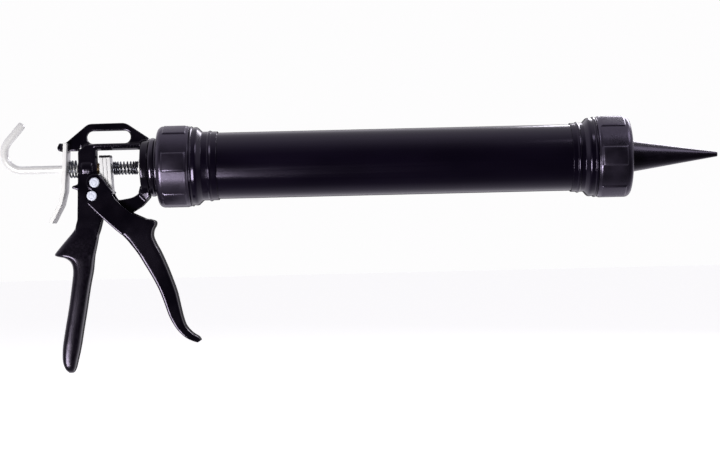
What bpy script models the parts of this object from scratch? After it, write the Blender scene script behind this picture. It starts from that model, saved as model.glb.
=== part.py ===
"""Caulking gun for 600 ml foil packs.

Frame: metres, +Z up, +X along the barrel towards the nozzle. The origin is the centre of the
nozzle's tip, on the barrel's axis, and the gun is symmetric about the XZ plane. Everything is
placed backwards from the tip, so one length can change and what lies behind it follows.
"""

import math

import bmesh
import bpy
from mathutils import Matrix, Vector

# ---- Fits -------------------------------------------------------------------------------
GAP = 0.0003                    # between pieces that touch or rest on each other
RUNNING_FIT = 0.0004            # radial, round a piece that turns or slides
THREAD_FIT = 0.00045            # radial and along the axis, in the screwed caps

# ---- Nozzle -----------------------------------------------------------------------------
NOZZLE_LENGTH = 0.0710          # tip to the front cap's face
NOZZLE_TIP_RADIUS = 0.00185
NOZZLE_BASE_RADIUS = 0.0130
NOZZLE_TIP_WALL = 0.0009
NOZZLE_BASE_WALL = 0.0018
NOZZLE_FLANGE_THICKNESS = 0.0030

# ---- Barrel -----------------------------------------------------------------------------
TUBE_LENGTH = 0.3603
TUBE_RADIUS = 0.0265
TUBE_WALL = 0.0012
COLLAR_WALL = 0.0012            # thinnest wall of the collar under its thread
COLLAR_NECK_WALL = 0.0007       # wall of the collar where it fades into the tube
COLLAR_SHOULDER_HEIGHT = 0.0040   # above the thread's root
COLLAR_BEAD_HEIGHT = 0.0007
FRONT_SHOULDER_WIDTH = 0.0062
FRONT_TAPER_LENGTH = 0.0052
FRONT_NECK_LENGTH = 0.0040
REAR_SHOULDER_WIDTH = 0.0032
REAR_TAPER_LENGTH = 0.0040
REAR_NECK_LENGTH = 0.0100

# ---- Screwed caps -----------------------------------------------------------------------
CAP_WALL = 0.00395              # bore to the outside, between the pads
CAP_FACE_ROUNDING = 0.0045
CAP_PAD_HEIGHT = 0.0011
CAP_PAD_CHAMFER = 0.0007
CAP_PAD_MARGIN = 0.0025         # plain rim at the open end of the grip pads
CAP_PAD_SETBACK = 0.0005        # from the face's rounding to the pads
CAP_SECTORS = 12                # raised pads and plain sectors, by turns
CAP_SECTOR_STEPS = 2            # mesh steps in each sector
FRONT_CAP_LENGTH = 0.0271
FRONT_CAP_LIP = 0.0040
FRONT_CAP_MOUTH_RADIUS = 0.0190
FRONT_CAP_TURN = math.radians(46)
REAR_CAP_LENGTH = 0.0260
REAR_CAP_LIP = 0.0035
REAR_CAP_TURN = math.radians(40)

THREAD_LEAD = 0.0050
THREAD_HEIGHT = 0.0013
THREAD_ROOT_WIDTH = 0.0026
THREAD_CREST_WIDTH = 0.0014
THREAD_TURNS = 2
THREAD_PHASE = math.radians(3.5)  # where the first thread starts, round the axis
THREAD_START = 0.0024           # from the collar's end to the middle of its first thread
GROOVE_RUN_IN = 1 / 12          # turns that the cap's groove runs on past the thread's end

# ---- Adaptor between the casting and the rear cap ------------------------------------------
ADAPTOR_NECK_RADIUS = 0.0234
ADAPTOR_NECK_LENGTH = 0.0105
ADAPTOR_BEAD_HEIGHT = 0.0012
ADAPTOR_FLANGE_FIT = 0.00095    # radial, in the rear cap
ADAPTOR_FLANGE_THICKNESS = 0.0035
ADAPTOR_RECESS_MARGIN = 0.0024  # round the screw heads
ADAPTOR_RECESS_DEPTH = 0.0060
SCREW_COUNT = 3
SCREW_CIRCLE_RADIUS = 0.0125
SCREW_RADIUS = 0.0020
SCREW_HEAD_RADIUS = 0.0036
SCREW_HEAD_HEIGHT = 0.0025
SCREW_SOCKET_RADIUS = 0.0016
SCREW_SOCKET_DEPTH = 0.0015
SCREW_REACH = 0.0050            # into the casting

# ---- Plunger ----------------------------------------------------------------------------
ROD_RADIUS = 0.0032
ROD_THREAD_STEP = 0.0004        # the thread is this much thinner than the rod
PISTON_SETBACK = 0.0277         # nozzle flange to the piston's front face
PISTON_LENGTH = 0.0180
PISTON_FLOOR = 0.0060
PISTON_WALL = 0.0024
PISTON_WIPER_HEIGHT = 0.0014
FRONT_WASHER_MARGIN = 0.0061    # inside the rim of the piston's front face
FRONT_WASHER_THICKNESS = 0.0015
BACK_WASHER_FIT = 0.0031        # radial, in the piston's cup
BACK_WASHER_THICKNESS = 0.0020
NUT_RADIUS = 0.0058             # across the corners, halved
NUT_HEIGHT = 0.0048
ROD_TIP_LENGTH = 0.0012         # bare thread in front of the front nut
HOOK_BEND_RADIUS = 0.0140
HOOK_TURN = math.radians(131)
HOOK_END_LENGTH = 0.0180
HOOK_SETBACK = 0.1025           # casting's front face to the start of the bend

# ---- Handle casting, measured back from its front face --------------------------------------
WEB_HALF = 0.0045               # half the thickness of the open frame
COLUMN_HALF = 0.0070            # half the thickness of the column between the trigger's ears
GRIP_HALF = 0.0108
LUG_HEAD_HALF = 0.0085
FRONT_PLATE_RADIUS = 0.0220
FRONT_PLATE_THICKNESS = 0.0075
SLOT_LENGTH = 0.0350
SLOT_HEIGHT = 0.0100
SLOT_BACK = 0.0325              # front face to the slot's middle
SLOT_RISE = 0.0249
WINDOW_TOP = 0.0141
WINDOW_FRONT = 0.0070           # front face to the window's front edge
ARCH_RADIUS = 0.0145
ARCH_DROP = 0.0105              # axis to the arch's centre
COLUMN_FRONT = 0.0423
COLUMN_BACK = 0.0570
BOSS_WALL = 0.0018              # round the bush
BOSS_PROUD = 0.0004
PIVOT_BACK = 0.0456
PIVOT_DROP = 0.0218
PIVOT_BOSS_RADIUS = 0.0063
POCKET_BACK = 0.0480
POCKET_TOP_DROP = 0.0037
POCKET_OVERCUT = 0.0010

# ---- Bush, plates and springs ---------------------------------------------------------------
BUSH_WALL = 0.0008
BUSH_BACK_PROUD = 0.0004
BUSH_FRONT_PROUD = 0.0017
PLATE_COUNT = 3
PLATE_THICKNESS = 0.0027
PLATE_SIDE_FIT = 0.0004         # to each of the trigger's ears
PLATE_HEIGHT = 0.0310
PLATE_TOP = 0.0103
PLATE_CORNER = 0.0015
PLATE_LEAN = math.radians(2.7)
PLATE_BACK = 0.0395             # front face of the casting to the stack's back, on the axis
PLATE_HOLE_FIT = 0.0005
DRIVE_SPRING_FIT = 0.0011       # radial, round the rod
DRIVE_SPRING_WIRE = 0.0006      # radius
DRIVE_SPRING_TURNS = 9.5
SPRING_WASHER_MARGIN = 0.0013   # past the spring
SPRING_WASHER_THICKNESS = 0.0010
CATCH_SPRING_MARGIN = 0.00105   # its outside, past the rod boss
CATCH_SPRING_WIRE = 0.0006      # radius
CATCH_SPRING_TURNS = 3.0
CATCH_THICKNESS = 0.0030
CATCH_HALF_WIDTH = 0.0100
CATCH_HOLE_FIT = 0.0007
CATCH_FORK_DEPTH = 0.0074
LUG_UNDERSIDE = 0.0142
LUG_TOP = 0.0207
CATCH_TOP_BACK = 0.0662         # front face of the casting to the catch's middle at its top
CATCH_KNEE_BACK = 0.0684
CATCH_KNEE_DROP = 0.0170
CATCH_BEND_LENGTH = 0.0110      # down the bend at the knee
CATCH_BEND_BACK = 0.0028
CATCH_END_BACK = 0.0790
CATCH_END_DROP = 0.0425

# ---- Trigger ----------------------------------------------------------------------------
TRIGGER_LEAN = math.radians(35)
EAR_THICKNESS = 0.0030
EAR_PIVOT_RADIUS = 0.0070
EAR_PIN_RADIUS = 0.0070
DRIVE_PIN_FORWARD = 0.0023      # from the pivot
DRIVE_PIN_RISE = 0.0105
TRIGGER_HALF = 0.0105
PIVOT_PIN_RADIUS = 0.0030
DRIVE_PIN_RADIUS = 0.0026
PIN_HEAD_RADIUS = 0.0040
PIN_HEAD_HEIGHT = 0.0016
PIN_END_LENGTH = 0.0012         # riveted end outside its washer
PIN_WASHER_RADIUS = 0.0046
PIN_WASHER_THICKNESS = 0.0010
ROLLER_RADIUS = 0.0040

# ---- Mesh steps -------------------------------------------------------------------------
CAP_STEPS = CAP_SECTORS * CAP_SECTOR_STEPS
TUBE_STEPS = 36
CONE_STEPS = 24
SMALL_STEPS = 16
ROD_STEPS = 12
GRIP_STEPS = 16
WIRE_SIDES = 5
COIL_STEPS = 11

# ---- Places along the barrel, worked out from the sizes above --------------------------------
CAP_FACE_X = -NOZZLE_LENGTH
NOZZLE_FLANGE_X = CAP_FACE_X - FRONT_CAP_LIP - GAP
NOZZLE_BACK_X = NOZZLE_FLANGE_X - NOZZLE_FLANGE_THICKNESS
BARREL_FRONT_X = NOZZLE_BACK_X - GAP
BARREL_BACK_X = BARREL_FRONT_X - TUBE_LENGTH
FRONT_CAP_EDGE_X = CAP_FACE_X - FRONT_CAP_LENGTH
ADAPTOR_FRONT_X = BARREL_BACK_X - GAP
ADAPTOR_FLANGE_X = ADAPTOR_FRONT_X - ADAPTOR_FLANGE_THICKNESS
REAR_CAP_BACK_X = ADAPTOR_FLANGE_X - GAP - REAR_CAP_LIP
REAR_CAP_EDGE_X = REAR_CAP_BACK_X + REAR_CAP_LENGTH
ADAPTOR_BACK_X = ADAPTOR_FLANGE_X - ADAPTOR_NECK_LENGTH
CASTING_X = ADAPTOR_BACK_X - GAP
PISTON_FRONT_X = NOZZLE_BACK_X - PISTON_SETBACK
PISTON_FLOOR_X = PISTON_FRONT_X - PISTON_FLOOR

# ---- Radii that follow from what fits inside or outside -------------------------------------
NOZZLE_FLANGE_RADIUS = TUBE_RADIUS - GAP
COLLAR_BORE_RADIUS = TUBE_RADIUS + GAP
COLLAR_ROOT_RADIUS = COLLAR_BORE_RADIUS + COLLAR_WALL
COLLAR_SHOULDER_RADIUS = COLLAR_ROOT_RADIUS + COLLAR_SHOULDER_HEIGHT
CAP_BORE_RADIUS = COLLAR_ROOT_RADIUS + THREAD_FIT
CAP_RADIUS = CAP_BORE_RADIUS + CAP_WALL
ADAPTOR_FLANGE_RADIUS = CAP_BORE_RADIUS - ADAPTOR_FLANGE_FIT
ADAPTOR_RECESS_RADIUS = SCREW_CIRCLE_RADIUS + SCREW_HEAD_RADIUS + ADAPTOR_RECESS_MARGIN
ROD_HOLE_RADIUS = ROD_RADIUS + RUNNING_FIT
ROD_THREAD_RADIUS = ROD_RADIUS - ROD_THREAD_STEP
BUSH_RADIUS = ROD_HOLE_RADIUS + BUSH_WALL
BOSS_RADIUS = BUSH_RADIUS + BOSS_WALL
DRIVE_SPRING_RADIUS = ROD_RADIUS + DRIVE_SPRING_FIT + 2 * DRIVE_SPRING_WIRE
CATCH_SPRING_RADIUS = BOSS_RADIUS + CATCH_SPRING_MARGIN
SPRING_WASHER_RADIUS = DRIVE_SPRING_RADIUS + SPRING_WASHER_MARGIN
PISTON_RADIUS = TUBE_RADIUS - TUBE_WALL - RUNNING_FIT
PISTON_CUP_RADIUS = PISTON_RADIUS - PISTON_WIPER_HEIGHT - PISTON_WALL
PISTON_FACE_RADIUS = PISTON_RADIUS - 2 * PISTON_WIPER_HEIGHT
FRONT_WASHER_RADIUS = PISTON_FACE_RADIUS - FRONT_WASHER_MARGIN
BACK_WASHER_RADIUS = PISTON_CUP_RADIUS - BACK_WASHER_FIT

# ---- The trigger's ears and pivots ------------------------------------------------------------
EAR_INNER = COLUMN_HALF + GAP
EAR_OUTER = EAR_INNER + EAR_THICKNESS
PLATE_WIDTH = 2 * (EAR_INNER - PLATE_SIDE_FIT)
PIVOT = Vector((CASTING_X - PIVOT_BACK, 0, -PIVOT_DROP))
DRIVE_PIN = PIVOT + Vector((DRIVE_PIN_FORWARD, 0, DRIVE_PIN_RISE))
CATCH_PIVOT = Vector((CASTING_X - CATCH_TOP_BACK - CATCH_THICKNESS / 2 - GAP, 0,
                      (LUG_UNDERSIDE + LUG_TOP) / 2))


# ---- Helpers ----------------------------------------------------------------------------
def clear_scene():
    for old in list(bpy.data.objects):
        bpy.data.objects.remove(old, do_unlink=True)


def make_material(name, colour, roughness, metallic):
    material = bpy.data.materials.new(name)
    material.use_nodes = True
    shader = material.node_tree.nodes["Principled BSDF"]
    shader.inputs["Base Color"].default_value = (*colour, 1)
    shader.inputs["Roughness"].default_value = roughness
    shader.inputs["Metallic"].default_value = metallic
    return material


def make_object(name, shape, material=None):
    """Turns a bmesh into an object, with its faces pointing out."""
    bmesh.ops.recalc_face_normals(shape, faces=shape.faces)
    mesh = bpy.data.meshes.new(name)
    shape.to_mesh(mesh)
    shape.free()
    mesh.shade_smooth()
    mesh.set_sharp_from_angle(angle=math.radians(32))
    piece = bpy.data.objects.new(name, mesh)
    bpy.context.scene.collection.objects.link(piece)
    if material:
        mesh.materials.append(material)
    return piece


def combine(piece, shape, operation, name):
    """Adds a tool object and the Boolean that joins it to the piece or cuts it away."""
    tool = make_object(name, shape)
    tool.hide_render = True
    tool.display_type = "WIRE"
    modifier = piece.modifiers.new(name, "BOOLEAN")
    modifier.operation = operation
    modifier.object = tool
    return tool


def join(piece, shape, name):
    return combine(piece, shape, "UNION", name)


def cut(piece, shape, name):
    return combine(piece, shape, "DIFFERENCE", name)


def make_joint(name, place, pieces):
    """An empty on a joint's axis, with the pieces that it moves as its children."""
    empty = bpy.data.objects.new(name, None)
    empty.location = place
    empty.empty_display_size = 0.01
    bpy.context.scene.collection.objects.link(empty)
    for piece in pieces:
        piece.parent = empty
        piece.matrix_parent_inverse = Matrix.Translation(-Vector(place))
    return empty


def loft(rings, closed=False):
    """Skins rings of points that all have the same count, with a face on each end ring."""
    shape = bmesh.new()
    loops = [[shape.verts.new(point) for point in ring] for ring in rings]
    pairs = list(zip(loops, loops[1:]))
    if closed:
        pairs.append((loops[-1], loops[0]))
    for first, second in pairs:
        for i in range(len(first)):
            j = (i + 1) % len(first)
            shape.faces.new((first[i], first[j], second[j], second[i]))
    if not closed:
        shape.faces.new(loops[0])
        shape.faces.new(loops[-1])
    return shape


def on_circle(x, radius, angle):
    """A point round the barrel's axis. The angle runs from +Y to +Z."""
    return Vector((x, radius * math.cos(angle), radius * math.sin(angle)))


def circle_x(x, radius, steps, turn=0.0):
    return [on_circle(x, radius, turn + math.tau * i / steps) for i in range(steps)]


def turned(profile, steps, turn=0.0):
    """A ring turned round the X axis from a closed profile of (x, radius)."""
    return loft([circle_x(x, radius, steps, turn) for x, radius in profile], closed=True)


def disc(x_low, x_high, radius, steps=SMALL_STEPS, centre=(0, 0)):
    """A solid cylinder along X."""
    offset = Vector((0, *centre))
    rings = [circle_x(x, radius, steps) for x in (x_low, x_high)]
    return loft([[point + offset for point in ring] for ring in rings])


def washer(x_low, x_high, bore, radius, steps):
    return turned([(x_low, bore), (x_low, radius), (x_high, radius), (x_high, bore)], steps)


def prism(outline, half_width):
    """A side outline of (x, z) points, extruded to both sides of the XZ plane."""
    return loft([[Vector((x, y, z)) for x, z in outline] for y in (-half_width, half_width)])


def stepped_pin(steps, centre, sizes):
    """A pin along Y, turned from (y, radius) pairs."""
    rings = []
    for y, radius in sizes:
        rings.append([
            centre + Vector((radius * math.cos(angle), y, radius * math.sin(angle)))
            for angle in (math.tau * i / steps for i in range(steps))
        ])
    return loft(rings)


def arc(centre, radius, start, end, steps):
    """Points of (x, z) on an arc, from the start angle to the end angle in degrees."""
    points = []
    for i in range(steps + 1):
        angle = math.radians(start + (end - start) * i / steps)
        points.append((centre[0] + radius * math.cos(angle), centre[1] + radius * math.sin(angle)))
    return points


def helix(section, x_start, lead, turns, steps_per_turn, angle_start=0.0):
    """Sweeps a section of (x, radius) points along a right-handed helix round the X axis."""
    count = round(turns * steps_per_turn)
    rings = []
    for i in range(count + 1):
        part = turns * i / count
        angle = angle_start + math.tau * part
        rings.append([on_circle(x_start + lead * part + x, r, angle) for x, r in section])
    return loft(rings)


def spring(name, x_low, x_high, outer_radius, wire_radius, turns, material):
    mean = outer_radius - wire_radius
    section = [
        (wire_radius * math.cos(angle), mean + wire_radius * math.sin(angle))
        for angle in (math.tau * i / WIRE_SIDES for i in range(WIRE_SIDES))
    ]
    start = x_low + wire_radius
    lead = (x_high - x_low - 2 * wire_radius) / turns
    return make_object(name, helix(section, start, lead, turns, COIL_STEPS), material)


def oval(centre, half_length, half_width, steps, power):
    """A rounded section of (along, across) points, between an ellipse and a rectangle."""
    points = []
    for i in range(steps):
        angle = math.tau * i / steps
        cosine, sine = math.cos(angle), math.sin(angle)
        points.append((
            centre + half_length * math.copysign(abs(cosine) ** (2 / power), cosine),
            half_width * math.copysign(abs(sine) ** (2 / power), sine),
        ))
    return points


# ---- Barrel -----------------------------------------------------------------------------
def make_barrel_tube(material):
    inner = TUBE_RADIUS - TUBE_WALL
    shape = turned([
        (BARREL_FRONT_X, TUBE_RADIUS), (BARREL_BACK_X, TUBE_RADIUS),
        (BARREL_BACK_X, inner), (BARREL_FRONT_X, inner),
    ], TUBE_STEPS)
    return make_object("barrel_tube", shape, material)


def thread_section(inner_radius, outer_radius, extra):
    """A thread's section, widened by extra on each flank."""
    root = THREAD_ROOT_WIDTH / 2 + extra
    crest = THREAD_CREST_WIDTH / 2 + extra
    return [(-root, inner_radius), (-crest, outer_radius), (crest, outer_radius), (root, inner_radius)]


def make_collar(name, end_x, inward, cap_edge_x, shoulder_width, taper, neck, material):
    """A threaded ferrule on one end of the tube. Inward is the way along X from that end."""
    threaded = abs(cap_edge_x - end_x) + GAP
    fade = COLLAR_BORE_RADIUS + COLLAR_NECK_WALL
    bead = fade + COLLAR_BEAD_HEIGHT
    shoulder_end = threaded + shoulder_width
    taper_end = shoulder_end + taper
    bead_start = taper_end + neck
    bead_width = 4 * COLLAR_BEAD_HEIGHT
    profile = [
        (0, COLLAR_ROOT_RADIUS), (threaded, COLLAR_ROOT_RADIUS),
        (threaded, COLLAR_SHOULDER_RADIUS), (shoulder_end, COLLAR_SHOULDER_RADIUS),
        (shoulder_end + 0.35 * taper, 0.35 * COLLAR_SHOULDER_RADIUS + 0.65 * fade),
        (taper_end, fade), (bead_start, fade),
        (bead_start + 0.25 * bead_width, bead), (bead_start + 0.75 * bead_width, bead),
        (bead_start + bead_width, fade), (bead_start + 1.5 * bead_width, fade),
        (bead_start + 1.5 * bead_width, COLLAR_BORE_RADIUS), (0, COLLAR_BORE_RADIUS),
    ]
    shape = turned([(end_x + inward * along, radius) for along, radius in profile], CAP_STEPS)
    piece = make_object(name, shape, material)
    section = thread_section(
        COLLAR_ROOT_RADIUS - 0.3 * COLLAR_WALL, COLLAR_ROOT_RADIUS + THREAD_HEIGHT, 0)
    first = thread_first_x(end_x, inward)
    thread = helix(section, first, THREAD_LEAD, THREAD_TURNS, CAP_STEPS, THREAD_PHASE)
    join(piece, thread, f"{name}_thread")
    return piece


def thread_first_x(end_x, inward):
    """Where the thread's rearmost turn starts, for the collar with this end."""
    if inward > 0:
        return end_x + THREAD_START
    return end_x - THREAD_START - THREAD_TURNS * THREAD_LEAD


def make_cap(name, face_x, inward, length, lip, mouth_radius, turn, end_x, material):
    """A ring cap with an inner lip, grip pads and a thread groove. Its face is at face_x."""
    rounding = [
        (CAP_FACE_ROUNDING * (1 - math.cos(angle)), CAP_RADIUS - CAP_FACE_ROUNDING * (1 - math.sin(angle)))
        for angle in (math.radians(30 * i) for i in range(4))
    ]
    pad_start = CAP_FACE_ROUNDING + CAP_PAD_SETBACK
    pad_end = length - CAP_PAD_MARGIN
    profile = [
        (0, mouth_radius), *rounding,
        (pad_start, CAP_RADIUS), (pad_end, CAP_RADIUS), (length, CAP_RADIUS),
        (length, CAP_BORE_RADIUS), (lip, CAP_BORE_RADIUS), (lip, mouth_radius),
    ]
    shape = turned([(face_x + inward * along, radius) for along, radius in profile], CAP_STEPS, turn)
    bmesh.ops.recalc_face_normals(shape, faces=shape.faces)
    raise_pads(shape, face_x + inward * (pad_start + pad_end) / 2, turn)
    piece = make_object(name, shape, material)

    groove = thread_section(
        CAP_BORE_RADIUS - THREAD_FIT, CAP_BORE_RADIUS + THREAD_HEIGHT, THREAD_FIT)
    first = thread_first_x(end_x, inward)
    if inward > 0:
        turns = math.ceil((face_x + length - first) / THREAD_LEAD) + 1 + GROOVE_RUN_IN
        start_turn = -GROOVE_RUN_IN
    else:
        turns = math.ceil((first - (face_x - length)) / THREAD_LEAD) + 1
        start_turn = -turns
        turns += THREAD_TURNS + GROOVE_RUN_IN
    cutter = helix(groove, first + start_turn * THREAD_LEAD, THREAD_LEAD, turns, CAP_STEPS,
                   THREAD_PHASE + math.tau * start_turn)
    cut(piece, cutter, f"{name}_groove")
    return piece


def raise_pads(shape, band_x, turn):
    """Lifts every second sector of the band of outer faces that crosses band_x."""
    sector = math.tau / CAP_SECTORS
    for number in range(0, CAP_SECTORS, 2):
        faces = []
        for face in shape.faces:
            centre = face.calc_center_median()
            outer = math.hypot(centre.y, centre.z) > CAP_RADIUS - CAP_PAD_HEIGHT
            angle = (math.atan2(centre.z, centre.y) - turn) % math.tau
            if outer and abs(centre.x - band_x) < 0.001 and int(angle / sector) == number:
                faces.append(face)
        bmesh.ops.inset_region(shape, faces=faces, thickness=CAP_PAD_CHAMFER, depth=CAP_PAD_HEIGHT,
                               use_even_offset=True, use_boundary=True)


def make_nozzle(material):
    slope = (NOZZLE_BASE_RADIUS - NOZZLE_TIP_RADIUS) / NOZZLE_LENGTH
    cone_back_radius = NOZZLE_TIP_RADIUS - slope * NOZZLE_FLANGE_X
    shape = turned([
        (0, NOZZLE_TIP_RADIUS), (NOZZLE_FLANGE_X, cone_back_radius),
        (NOZZLE_FLANGE_X, NOZZLE_FLANGE_RADIUS), (NOZZLE_BACK_X, NOZZLE_FLANGE_RADIUS),
        (NOZZLE_BACK_X, cone_back_radius - NOZZLE_BASE_WALL),
        (0, NOZZLE_TIP_RADIUS - NOZZLE_TIP_WALL),
    ], CONE_STEPS)
    return make_object("nozzle", shape, material)


def make_adaptor(material):
    """The round neck behind the rear cap, its flange and the recess for the screw heads."""
    neck = ADAPTOR_NECK_RADIUS - ADAPTOR_BEAD_HEIGHT
    bead_width = 0.32 * ADAPTOR_NECK_LENGTH
    beads = []
    for number in range(2):
        start = ADAPTOR_BACK_X + bead_width * number
        for i in range(5):
            angle = math.pi * i / 4
            beads.append((start + bead_width * (1 - math.cos(angle)) / 2,
                          neck + ADAPTOR_BEAD_HEIGHT * math.sin(angle)))
    del beads[5]
    recess_x = ADAPTOR_FRONT_X - ADAPTOR_RECESS_DEPTH
    shape = turned([
        (ADAPTOR_BACK_X, ROD_HOLE_RADIUS), *beads,
        (ADAPTOR_FLANGE_X, neck), (ADAPTOR_FLANGE_X, ADAPTOR_FLANGE_RADIUS),
        (ADAPTOR_FRONT_X, ADAPTOR_FLANGE_RADIUS), (ADAPTOR_FRONT_X, ADAPTOR_RECESS_RADIUS),
        (recess_x, ADAPTOR_RECESS_RADIUS), (recess_x, ROD_HOLE_RADIUS),
    ], CAP_STEPS, math.pi / CAP_STEPS)
    piece = make_object("barrel_adaptor", shape, material)
    for number, centre in enumerate(screw_centres(), 1):
        hole = disc(ADAPTOR_BACK_X - GAP, recess_x + GAP, SCREW_RADIUS + GAP, centre=centre)
        cut(piece, hole, f"adaptor_hole_{number}")
    return piece


def screw_centres():
    angles = [math.pi / 2 + math.tau * i / SCREW_COUNT for i in range(SCREW_COUNT)]
    return [(SCREW_CIRCLE_RADIUS * math.cos(a), SCREW_CIRCLE_RADIUS * math.sin(a)) for a in angles]


def make_screws(material):
    seat_x = ADAPTOR_FRONT_X - ADAPTOR_RECESS_DEPTH + GAP
    face_x = seat_x + SCREW_HEAD_HEIGHT
    profile = [
        (CASTING_X - SCREW_REACH, SCREW_RADIUS), (seat_x, SCREW_RADIUS),
        (seat_x, SCREW_HEAD_RADIUS), (face_x, SCREW_HEAD_RADIUS),
        (face_x, SCREW_SOCKET_RADIUS), (face_x - SCREW_SOCKET_DEPTH, SCREW_SOCKET_RADIUS),
    ]
    screws = []
    for number, (y, z) in enumerate(screw_centres(), 1):
        rings = [circle_x(x, radius, ROD_STEPS) for x, radius in profile]
        screw = make_object(f"adaptor_screw_{number}", loft(rings), material)
        screw.location = (0, y, z)
        screws.append(screw)
    return screws


# ---- Plunger ----------------------------------------------------------------------------
def make_rod(material):
    """The rod from its threaded front end to the hook, as one solid."""
    bend_x = CASTING_X - HOOK_SETBACK
    thread_back_x = back_nut_x() - GAP
    tip_x = front_nut_x() + NUT_HEIGHT + ROD_TIP_LENGTH
    rings = [
        circle_x(x, radius, ROD_STEPS) for x, radius in (
            (tip_x, ROD_THREAD_RADIUS), (thread_back_x, ROD_THREAD_RADIUS),
            (thread_back_x - GAP, ROD_RADIUS), (bend_x, ROD_RADIUS))
    ]
    bend_steps = 12
    for i in range(1, bend_steps + 1):
        rings.append(hook_ring(HOOK_TURN * i / bend_steps, 0))
    rings.append(hook_ring(HOOK_TURN, HOOK_END_LENGTH))
    return make_object("plunger_rod", loft(rings), material)


def hook_ring(turn, beyond):
    """A ring across the hook, after this much of its bend and a straight run beyond it."""
    centre = Vector((CASTING_X - HOOK_SETBACK, 0, HOOK_BEND_RADIUS))
    outwards = Vector((-math.sin(turn), 0, -math.cos(turn)))
    along = Vector((-math.cos(turn), 0, math.sin(turn)))
    middle = centre + outwards * HOOK_BEND_RADIUS + along * beyond
    ring = []
    for i in range(ROD_STEPS):
        angle = math.tau * i / ROD_STEPS
        ring.append(middle + Vector((0, ROD_RADIUS * math.cos(angle), 0))
                    - outwards * ROD_RADIUS * math.sin(angle))
    return ring


def front_washer_x():
    return PISTON_FRONT_X + GAP


def front_nut_x():
    return front_washer_x() + FRONT_WASHER_THICKNESS + GAP


def back_washer_x():
    return PISTON_FLOOR_X - GAP - BACK_WASHER_THICKNESS


def back_nut_x():
    return back_washer_x() - GAP - NUT_HEIGHT


def make_piston(material):
    """A cup that opens to the rear, with a wiping lip at each end."""
    outer = PISTON_RADIUS
    body = outer - PISTON_WIPER_HEIGHT
    back_x = PISTON_FRONT_X - PISTON_LENGTH
    lip = PISTON_LENGTH / 5
    bore = ROD_THREAD_RADIUS + GAP
    shape = turned([
        (PISTON_FRONT_X, bore), (PISTON_FRONT_X, PISTON_FACE_RADIUS),
        (PISTON_FRONT_X - lip / 3, outer), (PISTON_FRONT_X - lip, outer),
        (PISTON_FRONT_X - lip, body), (back_x + lip, body),
        (back_x + lip, outer), (back_x, outer),
        (back_x, outer - PISTON_WALL), (PISTON_FLOOR_X, PISTON_CUP_RADIUS),
        (PISTON_FLOOR_X, bore),
    ], TUBE_STEPS)
    return make_object("piston", shape, material)


def make_piston_hardware(material):
    bore = ROD_THREAD_RADIUS + GAP
    washers = [
        ("piston_front_washer", front_washer_x(), FRONT_WASHER_THICKNESS, FRONT_WASHER_RADIUS),
        ("piston_back_washer", back_washer_x(), BACK_WASHER_THICKNESS, BACK_WASHER_RADIUS),
    ]
    pieces = [
        make_object(name, washer(x, x + thickness, bore, radius, CONE_STEPS), material)
        for name, x, thickness, radius in washers
    ]
    for name, x in (("piston_front_nut", front_nut_x()), ("piston_back_nut", back_nut_x())):
        nut = make_object(name, disc(x, x + NUT_HEIGHT, NUT_RADIUS, 6), material)
        cut(nut, disc(x - GAP, x + NUT_HEIGHT + GAP, bore, ROD_STEPS), f"{name}_bore")
        pieces.append(nut)
    return pieces


# ---- Handle casting -----------------------------------------------------------------------
def from_casting(points):
    """Outline points measured from the casting's front face, moved to their place."""
    return [(CASTING_X + x, z) for x, z in points]


def web_outline():
    """The open frame: lug, hanger, front frame and arch, ending inside the column."""
    return from_casting([
        (-0.0705, LUG_UNDERSIDE), (-0.0705, LUG_TOP), (-0.0674, LUG_TOP),
        (-0.0487, 0.0356), (-0.0189, 0.0359), (-0.0005, 0.0232),
        (-0.0005, -0.0243), (-0.0063, -0.0306), (-0.0142, -0.0355), (-0.0203, -0.0376),
        (-0.0320, -0.0402), (-0.0420, -0.0400), (-0.0500, -0.0350),
        (-COLUMN_BACK + 0.0030, -0.0080), (-COLUMN_BACK, -0.0050), (-COLUMN_BACK + 0.0003, LUG_UNDERSIDE),
    ])


def window_outline():
    """The window round the mechanism, with the pocket for the drive roller."""
    arch = arc((-WINDOW_FRONT - 0.0002 - ARCH_RADIUS, -ARCH_DROP), ARCH_RADIUS, 0, -90, 6)
    boss = arc((-PIVOT_BACK, -PIVOT_DROP), PIVOT_BOSS_RADIUS - POCKET_OVERCUT, 0, 120, 6)
    return from_casting([
        (-COLUMN_FRONT, WINDOW_TOP), (-WINDOW_FRONT, WINDOW_TOP), *arch,
        (-PIVOT_BACK + PIVOT_BOSS_RADIUS - POCKET_OVERCUT, -ARCH_DROP - ARCH_RADIUS), *boss,
        (-POCKET_BACK - POCKET_OVERCUT, -PIVOT_DROP + PIVOT_BOSS_RADIUS),
        (-POCKET_BACK - POCKET_OVERCUT, -POCKET_TOP_DROP), (-COLUMN_FRONT, -POCKET_TOP_DROP),
    ])


def slot_outline():
    radius = SLOT_HEIGHT / 2
    reach = SLOT_LENGTH / 2 - radius
    ends = arc((-SLOT_BACK + reach, SLOT_RISE), radius, -90, 90, 8)
    ends += arc((-SLOT_BACK - reach, SLOT_RISE), radius, 90, 270, 8)
    return from_casting(ends)


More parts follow.
